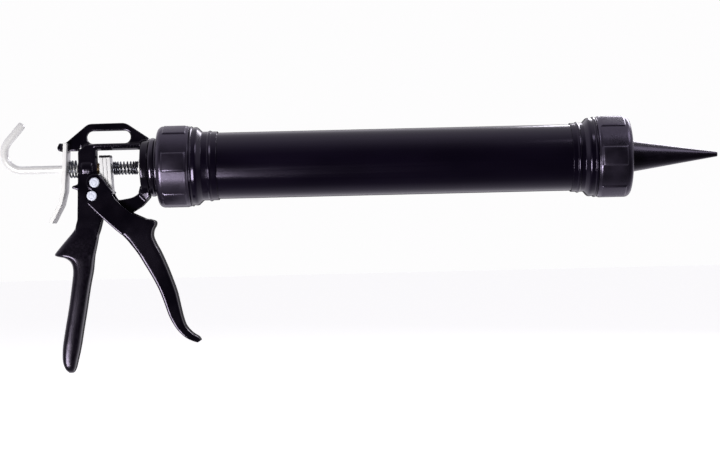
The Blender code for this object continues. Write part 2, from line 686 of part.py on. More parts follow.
def column_outline():
    """The block between the trigger's ears, with the round boss for the pivot pin."""
    boss = arc((-PIVOT_BACK, -PIVOT_DROP), PIVOT_BOSS_RADIUS, 0, 112, 6)
    top = -POCKET_TOP_DROP - GAP
    return from_casting([
        (-COLUMN_BACK - 0.0002, top), (-COLUMN_BACK - 0.0004, -0.0123),
        (-COLUMN_BACK - 0.0050, -0.0138), (-COLUMN_BACK - 0.0052, -0.0154),
        (-COLUMN_BACK - 0.0006, -0.0167),
        (-0.0584, -0.0404), (-0.0600, -0.0460), (-0.0600, -0.0540), (-0.0430, -0.0540),
        (-0.0411, -0.0487), (-0.0392, -0.0416),
        (-PIVOT_BACK + PIVOT_BOSS_RADIUS, -0.0300), *boss,
        (-POCKET_BACK, -PIVOT_DROP + PIVOT_BOSS_RADIUS), (-POCKET_BACK, top),
    ])


def grip_stations():
    """Height, back and front of the pistol grip, and its half width."""
    return [
        (-0.0440, -0.0592, -0.0399, COLUMN_HALF - 0.0008),
        (-0.0500, -0.0624, -0.0416, 0.0075),
        (-0.0580, -0.0694, -0.0432, 0.0092),
        (-0.0660, -0.0763, -0.0450, 0.0104),
        (-0.0684, -0.0776, -0.0456, GRIP_HALF),
        (-0.0696, -0.0755, -0.0458, GRIP_HALF),
        (-0.0712, -0.0690, -0.0461, GRIP_HALF),
        (-0.0750, -0.0643, -0.0466, GRIP_HALF),
        (-0.0820, -0.0631, -0.0475, GRIP_HALF),
        (-0.0944, -0.0646, -0.0501, GRIP_HALF),
        (-0.1117, -0.0673, -0.0531, GRIP_HALF),
        (-0.1280, -0.0704, -0.0561, GRIP_HALF),
        (-0.1420, -0.0727, -0.0586, 0.0104),
        (-0.1530, -0.0730, -0.0612, 0.0098),
        (-0.1595, -0.0710, -0.0629, 0.0080),
        (-0.1627, -0.0685, -0.0645, 0.0040),
    ]


def grip_shape(stations, upright):
    """Skins the ovals that the stations describe. Upright turns a section to its place."""
    rings = []
    for level, back, front, half_width in stations:
        section = oval((back + front) / 2, (front - back) / 2, half_width, GRIP_STEPS, 2.6)
        rings.append([upright(along, across, level) for along, across in section])
    return loft(rings)


def lug_head_outline():
    return from_casting([
        (-0.0719, LUG_UNDERSIDE), (-0.0730, 0.0169), (-0.0712, LUG_TOP - 0.0001),
        (-0.0692, LUG_TOP - 0.0001), (-0.0692, LUG_UNDERSIDE + 0.0001),
    ])


def make_handle_casting(material):
    piece = make_object("handle_casting", prism(web_outline(), WEB_HALF), material)
    cut(piece, prism(window_outline(), 2 * WEB_HALF), "window")
    cut(piece, prism(slot_outline(), 2 * WEB_HALF), "hang_slot")
    join(piece, prism(column_outline(), COLUMN_HALF), "column")
    join(piece, prism(lug_head_outline(), LUG_HEAD_HALF), "lug_head")
    plate = disc(CASTING_X - FRONT_PLATE_THICKNESS, CASTING_X, FRONT_PLATE_RADIUS, CAP_STEPS)
    join(piece, plate, "front_plate")
    boss = disc(CASTING_X - COLUMN_BACK - BOSS_PROUD, CASTING_X - COLUMN_FRONT + BOSS_PROUD,
                BOSS_RADIUS, SMALL_STEPS)
    join(piece, boss, "rod_boss")
    grip = grip_shape(grip_stations(), lambda x, y, z: Vector((CASTING_X + x, y, z)))
    join(piece, grip, "grip")

    back_x = CASTING_X - COLUMN_BACK - 2 * BOSS_PROUD
    bush_bore = disc(back_x, CASTING_X - COLUMN_FRONT + 2 * BOSS_PROUD, BUSH_RADIUS + GAP)
    cut(piece, bush_bore, "bush_bore")
    rod_hole = disc(CASTING_X - 2 * FRONT_PLATE_THICKNESS, CASTING_X + GAP, ROD_HOLE_RADIUS)
    cut(piece, rod_hole, "rod_hole")
    reach = 2 * COLUMN_HALF
    pivot_bore = stepped_pin(SMALL_STEPS, PIVOT, [(-reach, PIVOT_PIN_RADIUS + GAP),
                                                  (reach, PIVOT_PIN_RADIUS + GAP)])
    cut(piece, pivot_bore, "pivot_bore")
    for number, centre in enumerate(screw_centres(), 1):
        hole = disc(CASTING_X - SCREW_REACH - GAP, CASTING_X + GAP, SCREW_RADIUS + GAP, centre=centre)
        cut(piece, hole, f"screw_hole_{number}")
    return piece


def make_bush(material):
    shape = washer(CASTING_X - COLUMN_BACK - BUSH_BACK_PROUD, CASTING_X - COLUMN_FRONT + BUSH_FRONT_PROUD,
                   ROD_HOLE_RADIUS, BUSH_RADIUS, SMALL_STEPS)
    return make_object("rod_bush", shape, material)


# ---- Drive plates, catch and springs ---------------------------------------------------------
def make_drive_plates(material):
    """The leaning stack that grips the rod. Each plate is built flat and then leaned."""
    plates = []
    corner = PLATE_CORNER
    for number in range(1, PLATE_COUNT + 1):
        inner_y, low, high = PLATE_WIDTH / 2 - corner, PLATE_TOP - PLATE_HEIGHT + corner, PLATE_TOP - corner
        corners = [(inner_y, high, 0), (-inner_y, high, 90), (-inner_y, low, 180), (inner_y, low, 270)]
        outline = []
        for y, z, start in corners:
            outline += arc((y, z), corner, start, start + 90, 3)
        shape = loft([[Vector((x, y, z)) for y, z in outline] for x in (0, PLATE_THICKNESS)])
        plate = make_object(f"drive_plate_{number}", shape, material)
        hole = disc(-PLATE_THICKNESS, 2 * PLATE_THICKNESS, ROD_RADIUS + PLATE_HOLE_FIT)
        hole_tool = cut(plate, hole, f"drive_plate_hole_{number}")
        setback = PLATE_BACK - (number - 1) * (PLATE_THICKNESS + GAP) / math.cos(PLATE_LEAN)
        for item in (plate, hole_tool):
            item.location = (CASTING_X - setback, 0, 0)
            item.rotation_euler = (0, -PLATE_LEAN, 0)
        plates.append(plate)
    return plates


def drive_plates_front_x():
    """The foremost point of the stack within the spring's radius."""
    stack = PLATE_COUNT * PLATE_THICKNESS + (PLATE_COUNT - 1) * GAP
    return (CASTING_X - PLATE_BACK + stack / math.cos(PLATE_LEAN)
            + DRIVE_SPRING_RADIUS * math.tan(PLATE_LEAN))


def spring_washer_x():
    return CASTING_X - FRONT_PLATE_THICKNESS - GAP - SPRING_WASHER_THICKNESS


def catch_middle(drop):
    """The catch's middle line between its top and its knee, at this drop below the axis."""
    share = (LUG_TOP + drop) / (LUG_TOP + CATCH_KNEE_DROP)
    return CASTING_X - CATCH_TOP_BACK - share * (CATCH_KNEE_BACK - CATCH_TOP_BACK)


def make_catch_plate(material):
    """A flat plate on the rod, forked round the lug and bent back into a thumb lever."""
    path = [Vector((CASTING_X - back, -drop)) for back, drop in (
        (CATCH_TOP_BACK, -LUG_TOP), (CATCH_KNEE_BACK, CATCH_KNEE_DROP),
        (CATCH_KNEE_BACK + CATCH_BEND_BACK, CATCH_KNEE_DROP + CATCH_BEND_LENGTH),
        (CATCH_END_BACK, CATCH_END_DROP))]
    front, rear = [], []
    for i, point in enumerate(path):
        before = path[max(i - 1, 0)]
        after = path[min(i + 1, len(path) - 1)]
        along = (after - before).normalized()
        across = Vector((-along.y, along.x)) * CATCH_THICKNESS / 2
        front.append(tuple(point + across))
        rear.append(tuple(point - across))
    piece = make_object("catch_plate", prism(front + rear[::-1], CATCH_HALF_WIDTH), material)
    fork = [(CASTING_X - 2 * CATCH_TOP_BACK, LUG_TOP - CATCH_FORK_DEPTH),
            (CASTING_X, LUG_TOP - CATCH_FORK_DEPTH), (CASTING_X, 2 * LUG_TOP),
            (CASTING_X - 2 * CATCH_TOP_BACK, 2 * LUG_TOP)]
    cut(piece, prism(fork, WEB_HALF + GAP), "catch_fork")
    hole = disc(catch_middle(0) - 0.01, catch_middle(0) + 0.01, ROD_RADIUS + CATCH_HOLE_FIT)
    cut(piece, hole, "catch_hole")
    return piece


def make_springs(material):
    drive = spring("drive_spring", drive_plates_front_x() + GAP, spring_washer_x() - GAP,
                   DRIVE_SPRING_RADIUS, DRIVE_SPRING_WIRE, DRIVE_SPRING_TURNS, material)
    lean = (CATCH_KNEE_BACK - CATCH_TOP_BACK) / (LUG_TOP + CATCH_KNEE_DROP)
    catch_face = catch_middle(0) + CATCH_THICKNESS / 2 + CATCH_SPRING_RADIUS * lean
    column_face = CASTING_X - COLUMN_BACK - BOSS_PROUD
    catch = spring("catch_spring", catch_face + GAP, column_face - GAP, CATCH_SPRING_RADIUS,
                   CATCH_SPRING_WIRE, CATCH_SPRING_TURNS, material)
    x = spring_washer_x()
    shape = washer(x, x + SPRING_WASHER_THICKNESS, ROD_HOLE_RADIUS, SPRING_WASHER_RADIUS, SMALL_STEPS)
    return drive, catch, make_object("spring_washer", shape, material)


# ---- Trigger ----------------------------------------------------------------------------
def ear_outline():
    """One flat ear as (forward, up) from the pivot, before the trigger leans."""
    sine, cosine = math.sin(TRIGGER_LEAN), math.cos(TRIGGER_LEAN)
    pin = (DRIVE_PIN_FORWARD * cosine + DRIVE_PIN_RISE * sine,
           DRIVE_PIN_RISE * cosine - DRIVE_PIN_FORWARD * sine)
    top = arc(pin, EAR_PIN_RADIUS, 30, 200, 8)
    back = arc((0, 0), EAR_PIVOT_RADIUS, 160, 200, 3)
    front = [(0.0262, -0.0452), (0.0222, -0.0382), (0.0172, -0.0295), (0.0145, -0.0211),
             (0.0132, -0.0125), (0.0138, -0.0040)]
    rear = [(-0.0055, -0.0122), (-0.0039, -0.0202), (-0.0013, -0.0323), (0.0021, -0.0452)]
    return front + top + back + rear


def lever_stations():
    """Distance down the lever, its back and front, and its half width."""
    return [
        (-0.0390, 0.0004, 0.0228, 0.0104), (-0.0447, 0.0012, 0.0278, TRIGGER_HALF),
        (-0.0479, 0.0014, 0.0268, TRIGGER_HALF), (-0.0500, 0.0015, 0.0228, TRIGGER_HALF),
        (-0.0538, 0.0017, 0.0193, TRIGGER_HALF), (-0.0600, 0.0017, 0.0177, TRIGGER_HALF),
        (-0.0682, 0.0010, 0.0166, 0.0103), (-0.0804, -0.0001, 0.0140, 0.0101),
        (-0.0910, -0.0017, 0.0112, 0.0099), (-0.1013, -0.0043, 0.0081, 0.0097),
        (-0.1129, -0.0077, 0.0032, 0.0095), (-0.1208, -0.0088, 0.0000, 0.0092),
        (-0.1276, -0.0088, -0.0018, 0.0088), (-0.1348, -0.0073, -0.0010, 0.0082),
        (-0.1402, -0.0046, 0.0012, 0.0072), (-0.1437, -0.0022, 0.0014, 0.0050),
    ]


def make_trigger(material):
    outline = ear_outline()
    rings = [[Vector((x, y, z)) for x, z in outline] for y in (-EAR_OUTER, -EAR_INNER)]
    piece = make_object("trigger", loft(rings), material)
    far_ear = [[Vector((x, y, z)) for x, z in outline] for y in (EAR_INNER, EAR_OUTER)]
    lever = grip_shape(lever_stations(), lambda x, y, z: Vector((x, y, z)))
    tools = [join(piece, lever, "trigger_lever"), join(piece, loft(far_ear), "trigger_far_ear")]
    for name, centre, radius in (("pivot", PIVOT, PIVOT_PIN_RADIUS), ("pin", DRIVE_PIN, DRIVE_PIN_RADIUS)):
        bore = stepped_pin(SMALL_STEPS, centre, [(-2 * EAR_OUTER, radius + GAP), (2 * EAR_OUTER, radius + GAP)])
        cut(piece, bore, f"trigger_{name}_bore")
    for item in [piece, *tools]:
        item.location = PIVOT
        item.rotation_euler = (0, -TRIGGER_LEAN, 0)
    return piece


def make_pin(name, centre, radius, pin_material, washer_material):
    """A headed rivet through both ears, and the washer under its far end."""
    face = EAR_OUTER + GAP
    end = face + PIN_WASHER_THICKNESS + GAP
    rivet = make_object(name, stepped_pin(SMALL_STEPS, centre, [
        (-face - PIN_HEAD_HEIGHT, 0.8 * PIN_HEAD_RADIUS), (-face - 0.6 * PIN_HEAD_HEIGHT, PIN_HEAD_RADIUS),
        (-face, PIN_HEAD_RADIUS), (-face, radius), (end + PIN_END_LENGTH, radius),
    ]), pin_material)
    ring = make_object(name.replace("_pin", "_washer"), stepped_pin(SMALL_STEPS, centre, [
        (face, PIN_WASHER_RADIUS), (face + PIN_WASHER_THICKNESS, PIN_WASHER_RADIUS),
    ]), washer_material)
    bore = stepped_pin(SMALL_STEPS, centre, [(0, radius + GAP), (2 * end, radius + GAP)])
    cut(ring, bore, f"{name}_washer_bore")
    return rivet, ring


def make_roller(material):
    half = COLUMN_HALF - GAP
    piece = make_object("drive_roller", stepped_pin(SMALL_STEPS, DRIVE_PIN, [
        (-half, ROLLER_RADIUS), (half, ROLLER_RADIUS)]), material)
    bore = stepped_pin(SMALL_STEPS, DRIVE_PIN, [
        (-2 * half, DRIVE_PIN_RADIUS + GAP), (2 * half, DRIVE_PIN_RADIUS + GAP)])
    cut(piece, bore, "drive_roller_bore")
    return piece


# ---- The whole gun ----------------------------------------------------------------------
def main():
    clear_scene()
    coat = make_material("black_powder_coat", (0.012, 0.012, 0.016), 0.32, 0.0)
    paint = make_material("black_tube_paint", (0.016, 0.014, 0.020), 0.30, 0.0)
    plastic = make_material("black_cap_plastic", (0.030, 0.026, 0.034), 0.60, 0.0)
    satin = make_material("black_nozzle_plastic", (0.014, 0.013, 0.015), 0.38, 0.0)
    zinc = make_material("bright_zinc", (0.72, 0.73, 0.75), 0.28, 1.0)
    bronze = make_material("bush_bronze", (0.45, 0.31, 0.16), 0.40, 1.0)

    make_handle_casting(coat)
    make_bush(bronze)
    make_adaptor(coat)
    make_screws(zinc)
    pivot_pin, pivot_washer = make_pin("pivot_pin", PIVOT, PIVOT_PIN_RADIUS, zinc, zinc)

    drive_pieces = make_pin("drive_pin", DRIVE_PIN, DRIVE_PIN_RADIUS, zinc, zinc)
    trigger = make_trigger(coat)
    make_joint("trigger_pivot_axis", PIVOT, [trigger, *drive_pieces, make_roller(zinc)])
    plates = make_drive_plates(zinc)
    drive_spring, catch_spring, spring_washer = make_springs(zinc)
    make_joint("drive_slide_axis", (CASTING_X - PLATE_BACK, 0, 0), plates)
    make_joint("catch_pivot_axis", CATCH_PIVOT, [make_catch_plate(zinc)])

    rod = make_rod(zinc)
    piston = make_piston(plastic)
    make_joint("rod_slide_axis", (PISTON_FRONT_X, 0, 0), [rod, piston, *make_piston_hardware(zinc)])

    tube = make_barrel_tube(paint)
    front_collar = make_collar(
        "front_collar", BARREL_FRONT_X, -1, FRONT_CAP_EDGE_X,
        FRONT_SHOULDER_WIDTH, FRONT_TAPER_LENGTH, FRONT_NECK_LENGTH, paint)
    rear_collar = make_collar(
        "rear_collar", BARREL_BACK_X, 1, REAR_CAP_EDGE_X,
        REAR_SHOULDER_WIDTH, REAR_TAPER_LENGTH, REAR_NECK_LENGTH, paint)
    make_joint("barrel_slide_axis", (BARREL_BACK_X, 0, 0), [tube, front_collar, rear_collar])
    rear_cap = make_cap(
        "rear_cap", REAR_CAP_BACK_X, 1, REAR_CAP_LENGTH, REAR_CAP_LIP,
        ADAPTOR_NECK_RADIUS - ADAPTOR_BEAD_HEIGHT + RUNNING_FIT, REAR_CAP_TURN, BARREL_BACK_X, plastic)
    front_cap = make_cap(
        "front_cap", CAP_FACE_X, -1, FRONT_CAP_LENGTH, FRONT_CAP_LIP,
        FRONT_CAP_MOUTH_RADIUS, FRONT_CAP_TURN, BARREL_FRONT_X, plastic)
    make_joint("rear_cap_axis", (REAR_CAP_BACK_X, 0, 0), [rear_cap])
    make_joint("front_cap_axis", (CAP_FACE_X, 0, 0), [front_cap])
    make_joint("nozzle_slide_axis", (NOZZLE_BACK_X, 0, 0), [make_nozzle(satin)])


main()
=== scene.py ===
# %% [markdown]
# # A caulking gun, dressed for its portrait
# The gun's frame is already designed: every piece has its place, its size and its joint.
# This notebook makes the surfaces that people see. Each cell takes one piece of the real gun,
# says how a maker would shape it, and builds a fine version of it round the same axis.
# All lengths are in metres, +X runs along the barrel to the nozzle and +Z is up.

# %% Load the frame
import math

import bmesh
import bpy
from mathutils import Matrix, Vector


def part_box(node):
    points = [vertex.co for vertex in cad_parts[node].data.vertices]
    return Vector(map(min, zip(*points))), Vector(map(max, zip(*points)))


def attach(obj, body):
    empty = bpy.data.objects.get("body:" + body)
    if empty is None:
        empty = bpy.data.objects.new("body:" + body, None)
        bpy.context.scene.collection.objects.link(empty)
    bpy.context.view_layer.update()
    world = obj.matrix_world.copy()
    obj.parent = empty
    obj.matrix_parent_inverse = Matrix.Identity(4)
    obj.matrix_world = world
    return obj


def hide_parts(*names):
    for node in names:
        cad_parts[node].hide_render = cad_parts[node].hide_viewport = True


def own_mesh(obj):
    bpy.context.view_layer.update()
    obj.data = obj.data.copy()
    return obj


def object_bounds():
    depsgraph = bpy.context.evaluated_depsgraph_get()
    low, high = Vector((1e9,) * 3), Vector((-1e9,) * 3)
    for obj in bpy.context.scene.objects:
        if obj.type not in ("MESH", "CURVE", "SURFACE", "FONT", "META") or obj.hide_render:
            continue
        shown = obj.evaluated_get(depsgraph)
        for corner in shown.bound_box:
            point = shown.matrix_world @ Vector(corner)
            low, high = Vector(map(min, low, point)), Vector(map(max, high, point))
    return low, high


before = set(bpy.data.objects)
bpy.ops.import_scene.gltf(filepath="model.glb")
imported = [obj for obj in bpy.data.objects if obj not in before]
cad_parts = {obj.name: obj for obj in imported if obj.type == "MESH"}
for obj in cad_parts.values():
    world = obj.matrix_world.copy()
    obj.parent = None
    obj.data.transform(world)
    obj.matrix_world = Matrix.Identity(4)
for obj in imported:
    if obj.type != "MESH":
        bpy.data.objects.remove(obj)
cad_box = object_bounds()
MM = 0.001
scene = bpy.context.scene
print("size in mm:", [round((high - low) / MM, 1) for low, high in zip(*cad_box)])

# %% [markdown]
# ## Camera
# A long object is looked at squarely from the side, from far enough away that the barrel
# hardly tapers. The camera stands 1.35 m off and rolls a little over one degree, so that the
# barrel climbs gently to the right. A longer lens from further off would flatten the caps,
# and a shorter one would swing the hook and the nozzle away from the eye.

# %% Camera
CAMERA_DISTANCE = 1.35
CAMERA_FIELD = 0.576            # width of the view where the gun is
CAMERA_CENTRE = Vector((-0.2869, 0, -0.0496))
CAMERA_ROLL = math.radians(1.352)
SENSOR_WIDTH = 36.0             # a camera's sensor and lens are in millimetres

lens = bpy.data.cameras.new("portrait_lens")
lens.sensor_width = SENSOR_WIDTH
lens.lens = SENSOR_WIDTH * CAMERA_DISTANCE / CAMERA_FIELD
camera = bpy.data.objects.new("portrait_camera", lens)
scene.collection.objects.link(camera)
right = Vector((math.cos(CAMERA_ROLL), 0, -math.sin(CAMERA_ROLL)))
up = Vector((math.sin(CAMERA_ROLL), 0, math.cos(CAMERA_ROLL)))
back = Vector((0, -1, 0))
camera.matrix_world = Matrix.Translation(CAMERA_CENTRE + back * CAMERA_DISTANCE) @ Matrix(
    (right, up, back)).transposed().to_4x4()
scene.camera = camera
scene.view_settings.view_transform = "Standard"
print("lens:", round(lens.lens, 1), "mm")

# %% [markdown]
# ## Studio
# Glossy black shows nothing but what it mirrors, so the light is mostly a shape to reflect.
# The sky above, below and behind the gun is bright and fades to dark towards the camera:
# that rims a black barrel with light and leaves its middle deep. Straight behind the gun it
# is dark again, so the far side has shape too. Three softboxes add to it. The key stands low
# on the left and draws the bright streaks on beads, rivets and plates, a weak fill hangs
# high on the right, and the last one lights the gun from behind. The floor is pale and well
# below the gun, and only the camera sees it, so it can't cloud the reflections.

# %% Sky, softboxes and floor
NEUTRAL, COOL = (1.0, 0.98, 0.97), (0.97, 0.95, 1.0)
SOFTBOXES = {                   # where it stands, what it points at, its size, watts, colour
    "key_softbox": ((-0.98, -1.15, -0.62), (-0.40, 0, -0.02), (0.45, 0.70), 20.0, NEUTRAL),
    "fill_softbox": ((0.55, -0.50, 0.95), (-0.10, 0, 0), (0.70, 0.50), 3.0, COOL),
    "rear_softbox": ((0.45, 1.05, 0.75), (-0.25, 0, 0), (0.90, 0.45), 9.0, COOL),
}
# How bright the sky is, from in front of the gun (0) to straight behind it (1).
SKY_ABOVE = [(0.0, 0.02), (0.10, 0.05), (0.20, 0.15), (0.30, 0.30), (0.5, 0.55),
             (0.80, 0.62), (0.93, 1.0), (0.955, 1.0), (0.975, 0.08)]
SKY_BELOW = [(0.0, 0.02), (0.26, 0.04), (0.44, 0.11), (0.57, 0.30), (0.72, 0.52),
             (0.82, 0.80), (0.93, 1.0), (0.955, 1.0), (0.975, 0.08)]
SKY_SEAM = 0.12                 # how far above and below the horizon the two are blended
SKY_TINT = (0.97, 0.94, 1.0, 1)
BACKDROP = (0.985, 0.98, 0.985, 1)
FLOOR_GREY = (0.80, 0.80, 0.80, 1)
FLOOR_GLOW = 0.60               # lifts the floor to the backdrop's brightness, so no line shows
FLOOR_DROP = 0.10               # below the gun's lowest point
FLOOR_HALF = 6.0


def link_in(tree, value, socket):
    """Gives a node's input a value, or wires another node's output to it."""
    if isinstance(value, bpy.types.NodeSocket):
        tree.links.new(value, socket)
    else:
        socket.default_value = value


def add_node(tree, kind, inputs=None, **settings):
    """Adds one node, sets it up and fills its inputs by name or number."""
    node = tree.nodes.new(kind)
    for name, value in settings.items():
        setattr(node, name, value)
    for name, value in (inputs or {}).items():
        link_in(tree, value, node.inputs[name])
    return node


def maths(tree, operation, first, second=0.0, third=0.0):
    return add_node(tree, "ShaderNodeMath", {0: first, 1: second, 2: third},
                    operation=operation).outputs[0]


def ramp(tree, value, stops):
    """A colour ramp through grey stops of (position, brightness)."""
    node = add_node(tree, "ShaderNodeValToRGB", {"Fac": value})
    elements = node.color_ramp.elements
    while len(elements) < len(stops):
        elements.new(0.5)
    for element, (position, grey) in zip(elements, stops):
        element.position = position
        element.color = (grey, grey, grey, 1)
    return node.outputs["Color"]


def make_sky():
    """A white backdrop for the camera, and the shaded sky for everything that mirrors it."""
    world = bpy.data.worlds.new("studio_sky")
    world.use_nodes = True
    tree = world.node_tree
    tree.nodes.clear()
    direction = add_node(tree, "ShaderNodeTexCoord").outputs["Generated"]
    parts = add_node(tree, "ShaderNodeSeparateXYZ", {0: direction})
    depth = add_node(tree, "ShaderNodeMapRange", {
        "Value": parts.outputs["Y"], "From Min": -1.0, "From Max": 1.0}).outputs[0]
    above = ramp(tree, depth, SKY_ABOVE)
    below = ramp(tree, depth, SKY_BELOW)
    height = add_node(tree, "ShaderNodeMapRange", {
        "Value": parts.outputs["Z"], "From Min": -SKY_SEAM, "From Max": SKY_SEAM}).outputs[0]
    sides = add_node(tree, "ShaderNodeMix", {"Factor": height, 6: below, 7: above},
                     data_type="RGBA")
    tint = add_node(tree, "ShaderNodeMix", {"Factor": 1.0, 6: sides.outputs[2], 7: SKY_TINT},
                    data_type="RGBA", blend_type="MULTIPLY")
    seen = add_node(tree, "ShaderNodeBackground", {"Color": BACKDROP})
    mirrored = add_node(tree, "ShaderNodeBackground", {"Color": tint.outputs[2]})
    rays = add_node(tree, "ShaderNodeLightPath").outputs["Is Camera Ray"]
    mixed = add_node(tree, "ShaderNodeMixShader", {
        0: rays, 1: mirrored.outputs[0], 2: seen.outputs[0]})
    add_node(tree, "ShaderNodeOutputWorld", {"Surface": mixed.outputs[0]})
    scene.world = world


def make_softbox(name, place, target, size, power, colour):
    """A rectangular lamp that faces its target."""
    light = bpy.data.lights.new(name, "AREA")
    light.shape = "RECTANGLE"
    light.size, light.size_y = size
    light.energy = power
    light.color = colour
    box = bpy.data.objects.new(name, light)
    box.location = Vector(place)
    box.rotation_mode = "QUATERNION"
    box.rotation_quaternion = (Vector(place) - Vector(target)).to_track_quat("Z", "Y")
    scene.collection.objects.link(box)


def make_floor():
    shape = bmesh.new()
    bmesh.ops.create_grid(shape, x_segments=1, y_segments=1, size=FLOOR_HALF)
    mesh = bpy.data.meshes.new("floor")
    shape.to_mesh(mesh)
    shape.free()
    mesh.transform(Matrix.Translation((0, 0, cad_box[0].z - FLOOR_DROP)))
    floor = bpy.data.objects.new("floor", mesh)
    scene.collection.objects.link(floor)
    material = bpy.data.materials.new("pale_floor")
    material.use_nodes = True
    tree = material.node_tree
    tree.nodes.clear()
    paper = add_node(tree, "ShaderNodeBsdfDiffuse", {"Color": FLOOR_GREY})
    glow = add_node(tree, "ShaderNodeEmission", {"Color": (1, 1, 1, 1), "Strength": FLOOR_GLOW})
    both = add_node(tree, "ShaderNodeAddShader", {0: paper.outputs[0], 1: glow.outputs[0]})
    clear = add_node(tree, "ShaderNodeBsdfTransparent")
    rays = add_node(tree, "ShaderNodeLightPath").outputs["Is Camera Ray"]
    mixed = add_node(tree, "ShaderNodeMixShader", {
        0: rays, 1: clear.outputs[0], 2: both.outputs[0]})
    add_node(tree, "ShaderNodeOutputMaterial", {"Surface": mixed.outputs[0]})
    mesh.materials.append(material)


make_sky()
for softbox, settings in SOFTBOXES.items():
    make_softbox(softbox, *settings)
make_floor()
print("softboxes:", len(SOFTBOXES), "floor at", round((cad_box[0].z - FLOOR_DROP) / MM), "mm")

# %% [markdown]
# ## Finishes
# Each finish is a small node tree on Object coordinates, so the grain is tied to the metal
# and has its real size. A base shader comes first, and each finish adds what makes it look
# made: the orange peel of powder coat, the drawing lines of a tube, the spark texture of a
# moulding tool, the cloudy patches of zinc plating.

# %% Shared parts of a finish
WHITE_SHEEN = (1, 1, 1, 1)
BLACK_SHEEN = (0.80, 0.70, 1.0, 1)   # the faint violet of carbon black under a glossy skin
COAT_SHEEN = (0.84, 0.75, 1.0, 1)


def start_finish(name, metallic=0.0, ior=1.5, sheen=WHITE_SHEEN):
    """A material with its Principled shader, and the Object coordinates ready for use."""
    material = bpy.data.materials.new(name)
    material.use_nodes = True
    tree = material.node_tree
    shader = tree.nodes["Principled BSDF"]
    shader.inputs["Metallic"].default_value = metallic
    shader.inputs["IOR"].default_value = ior
    shader.inputs["Specular Tint"].default_value = sheen
    place = add_node(tree, "ShaderNodeTexCoord").outputs["Object"]
    return material, tree, shader, place


def noise(tree, place, size, stretch=(1, 1, 1), detail=2.0):
    """Grey noise whose lumps are about this size in metres, stretched along the axes."""
    scaled = add_node(tree, "ShaderNodeMapping", {
        "Vector": place, "Scale": tuple(1 / (size * share) for share in stretch)})
    return add_node(tree, "ShaderNodeTexNoise", {
        "Vector": scaled.outputs[0], "Scale": 1.0, "Detail": detail}).outputs["Fac"]


def between(tree, value, low, high, start=0.35, end=0.65):
    """Turns noise between start and end into a number from low to high."""
    return add_node(tree, "ShaderNodeMapRange", {
        "Value": value, "From Min": start, "From Max": end,
        "To Min": low, "To Max": high}).outputs[0]


def blend(tree, factor, first, second):
    """Mixes two colours by a grey value."""
    node = add_node(tree, "ShaderNodeMix", {"Factor": factor}, data_type="RGBA")
    for socket, colour in ((node.inputs[6], first), (node.inputs[7], second)):
        link_in(tree, colour if isinstance(colour, bpy.types.NodeSocket) else (*colour, 1), socket)
    return node.outputs[2]


def clouded(tree, clouds, first, second):
    """Mixes two colours in the soft patches of a noise."""
    return blend(tree, between(tree, clouds, 0, 1), first, second)


def dress(tree, shader, colour, roughness):
    tree.links.new(colour, shader.inputs["Base Color"])
    tree.links.new(roughness, shader.inputs["Roughness"])


def emboss(tree, shader, height, depth, below=None):
    """Adds a bump of this depth in metres, on top of another bump if one is given."""
    bump = add_node(tree, "ShaderNodeBump", {"Height": height, "Distance": depth, "Strength": 1.0})
    if below is not None:
        tree.links.new(below, bump.inputs["Normal"])
    tree.links.new(bump.outputs[0], shader.inputs["Normal"])
    return bump.outputs[0]


def edges(tree, low, high):
    """White on sharp outer edges and black elsewhere: a mask for wear where handling rubs first and
    for a painted edge highlight.
    """
    pointed = add_node(tree, "ShaderNodeNewGeometry").outputs["Pointiness"]
    return between(tree, pointed, 0.0, 1.0, low, high)


def level_of(tree, place):
    """The height of a point, for finishes that change on the way up."""
    return add_node(tree, "ShaderNodeSeparateXYZ", {0: place}).outputs["Z"]


print("shared sheens:", WHITE_SHEEN, BLACK_SHEEN, COAT_SHEEN)


# %% [markdown]
# ### Painted metal
# The casting and the trigger are dusted with powder and baked: deep gloss with a faint orange
# peel a millimetre or two across, a little more haze in patches, and a paler line on the edges,
# partly wear where handling rubs and partly a painted edge highlight. Below the thumb the grip's
# coat is rougher, and its colour turns lighter and speckled there as a painted sheen. The neck's
# coat mirrors more. The barrel is a drawn tube under a satin paint, so its haze runs in long
# streaks along it.

# %% Powder coat and tube paint
GRIP_SHEEN_LEVEL = -48 * MM           # below this height the grip is rougher and painted lighter, as a painted sheen
GRIP_SHEEN_FADE = 14 * MM
GRIP_HAZE = 0.08                # extra roughness on the grip


def powder_coat(name, sheen_below=None, ior=1.54):
    """Glossy powder coat. Below the given height it is rougher, with a lighter speckled colour as a
    painted sheen.
    """
    material, tree, shader, place = start_finish(name, ior=ior, sheen=COAT_SHEEN)
    patches = noise(tree, place, 22 * MM, detail=3.0)
    colour = clouded(tree, patches, (0.0018, 0.0013, 0.0032), (0.0048, 0.0036, 0.0072))
    # paler sharp edges: partly wear, partly a painted edge highlight
    wear_and_edge_highlight = edges(tree, 0.56, 0.66)
    colour = blend(tree, wear_and_edge_highlight, colour, (0.016, 0.013, 0.020))
    haze = between(tree, patches, 0.10, 0.17)
    if sheen_below is not None:
        grip_sheen_mask = between(tree, level_of(tree, place), 1, 0, sheen_below - GRIP_SHEEN_FADE, sheen_below)
        specks = between(tree, noise(tree, place, 1.8 * MM, detail=4.0), 0, 1, 0.40, 0.75)
        # a lighter speckled colour on the grip: a painted sheen
        painted_grip_sheen = blend(tree, specks, (0.0030, 0.0022, 0.0045), (0.0120, 0.0090, 0.0160))
        colour = blend(tree, grip_sheen_mask, colour, painted_grip_sheen)
        haze = maths(tree, "MULTIPLY_ADD", grip_sheen_mask, GRIP_HAZE, haze)
    dress(tree, shader, colour, haze)
    peel = emboss(tree, shader, noise(tree, place, 1.6 * MM, detail=1.0), 0.012 * MM)
    emboss(tree, shader, noise(tree, place, 0.35 * MM), 0.0025 * MM, peel)
    return material


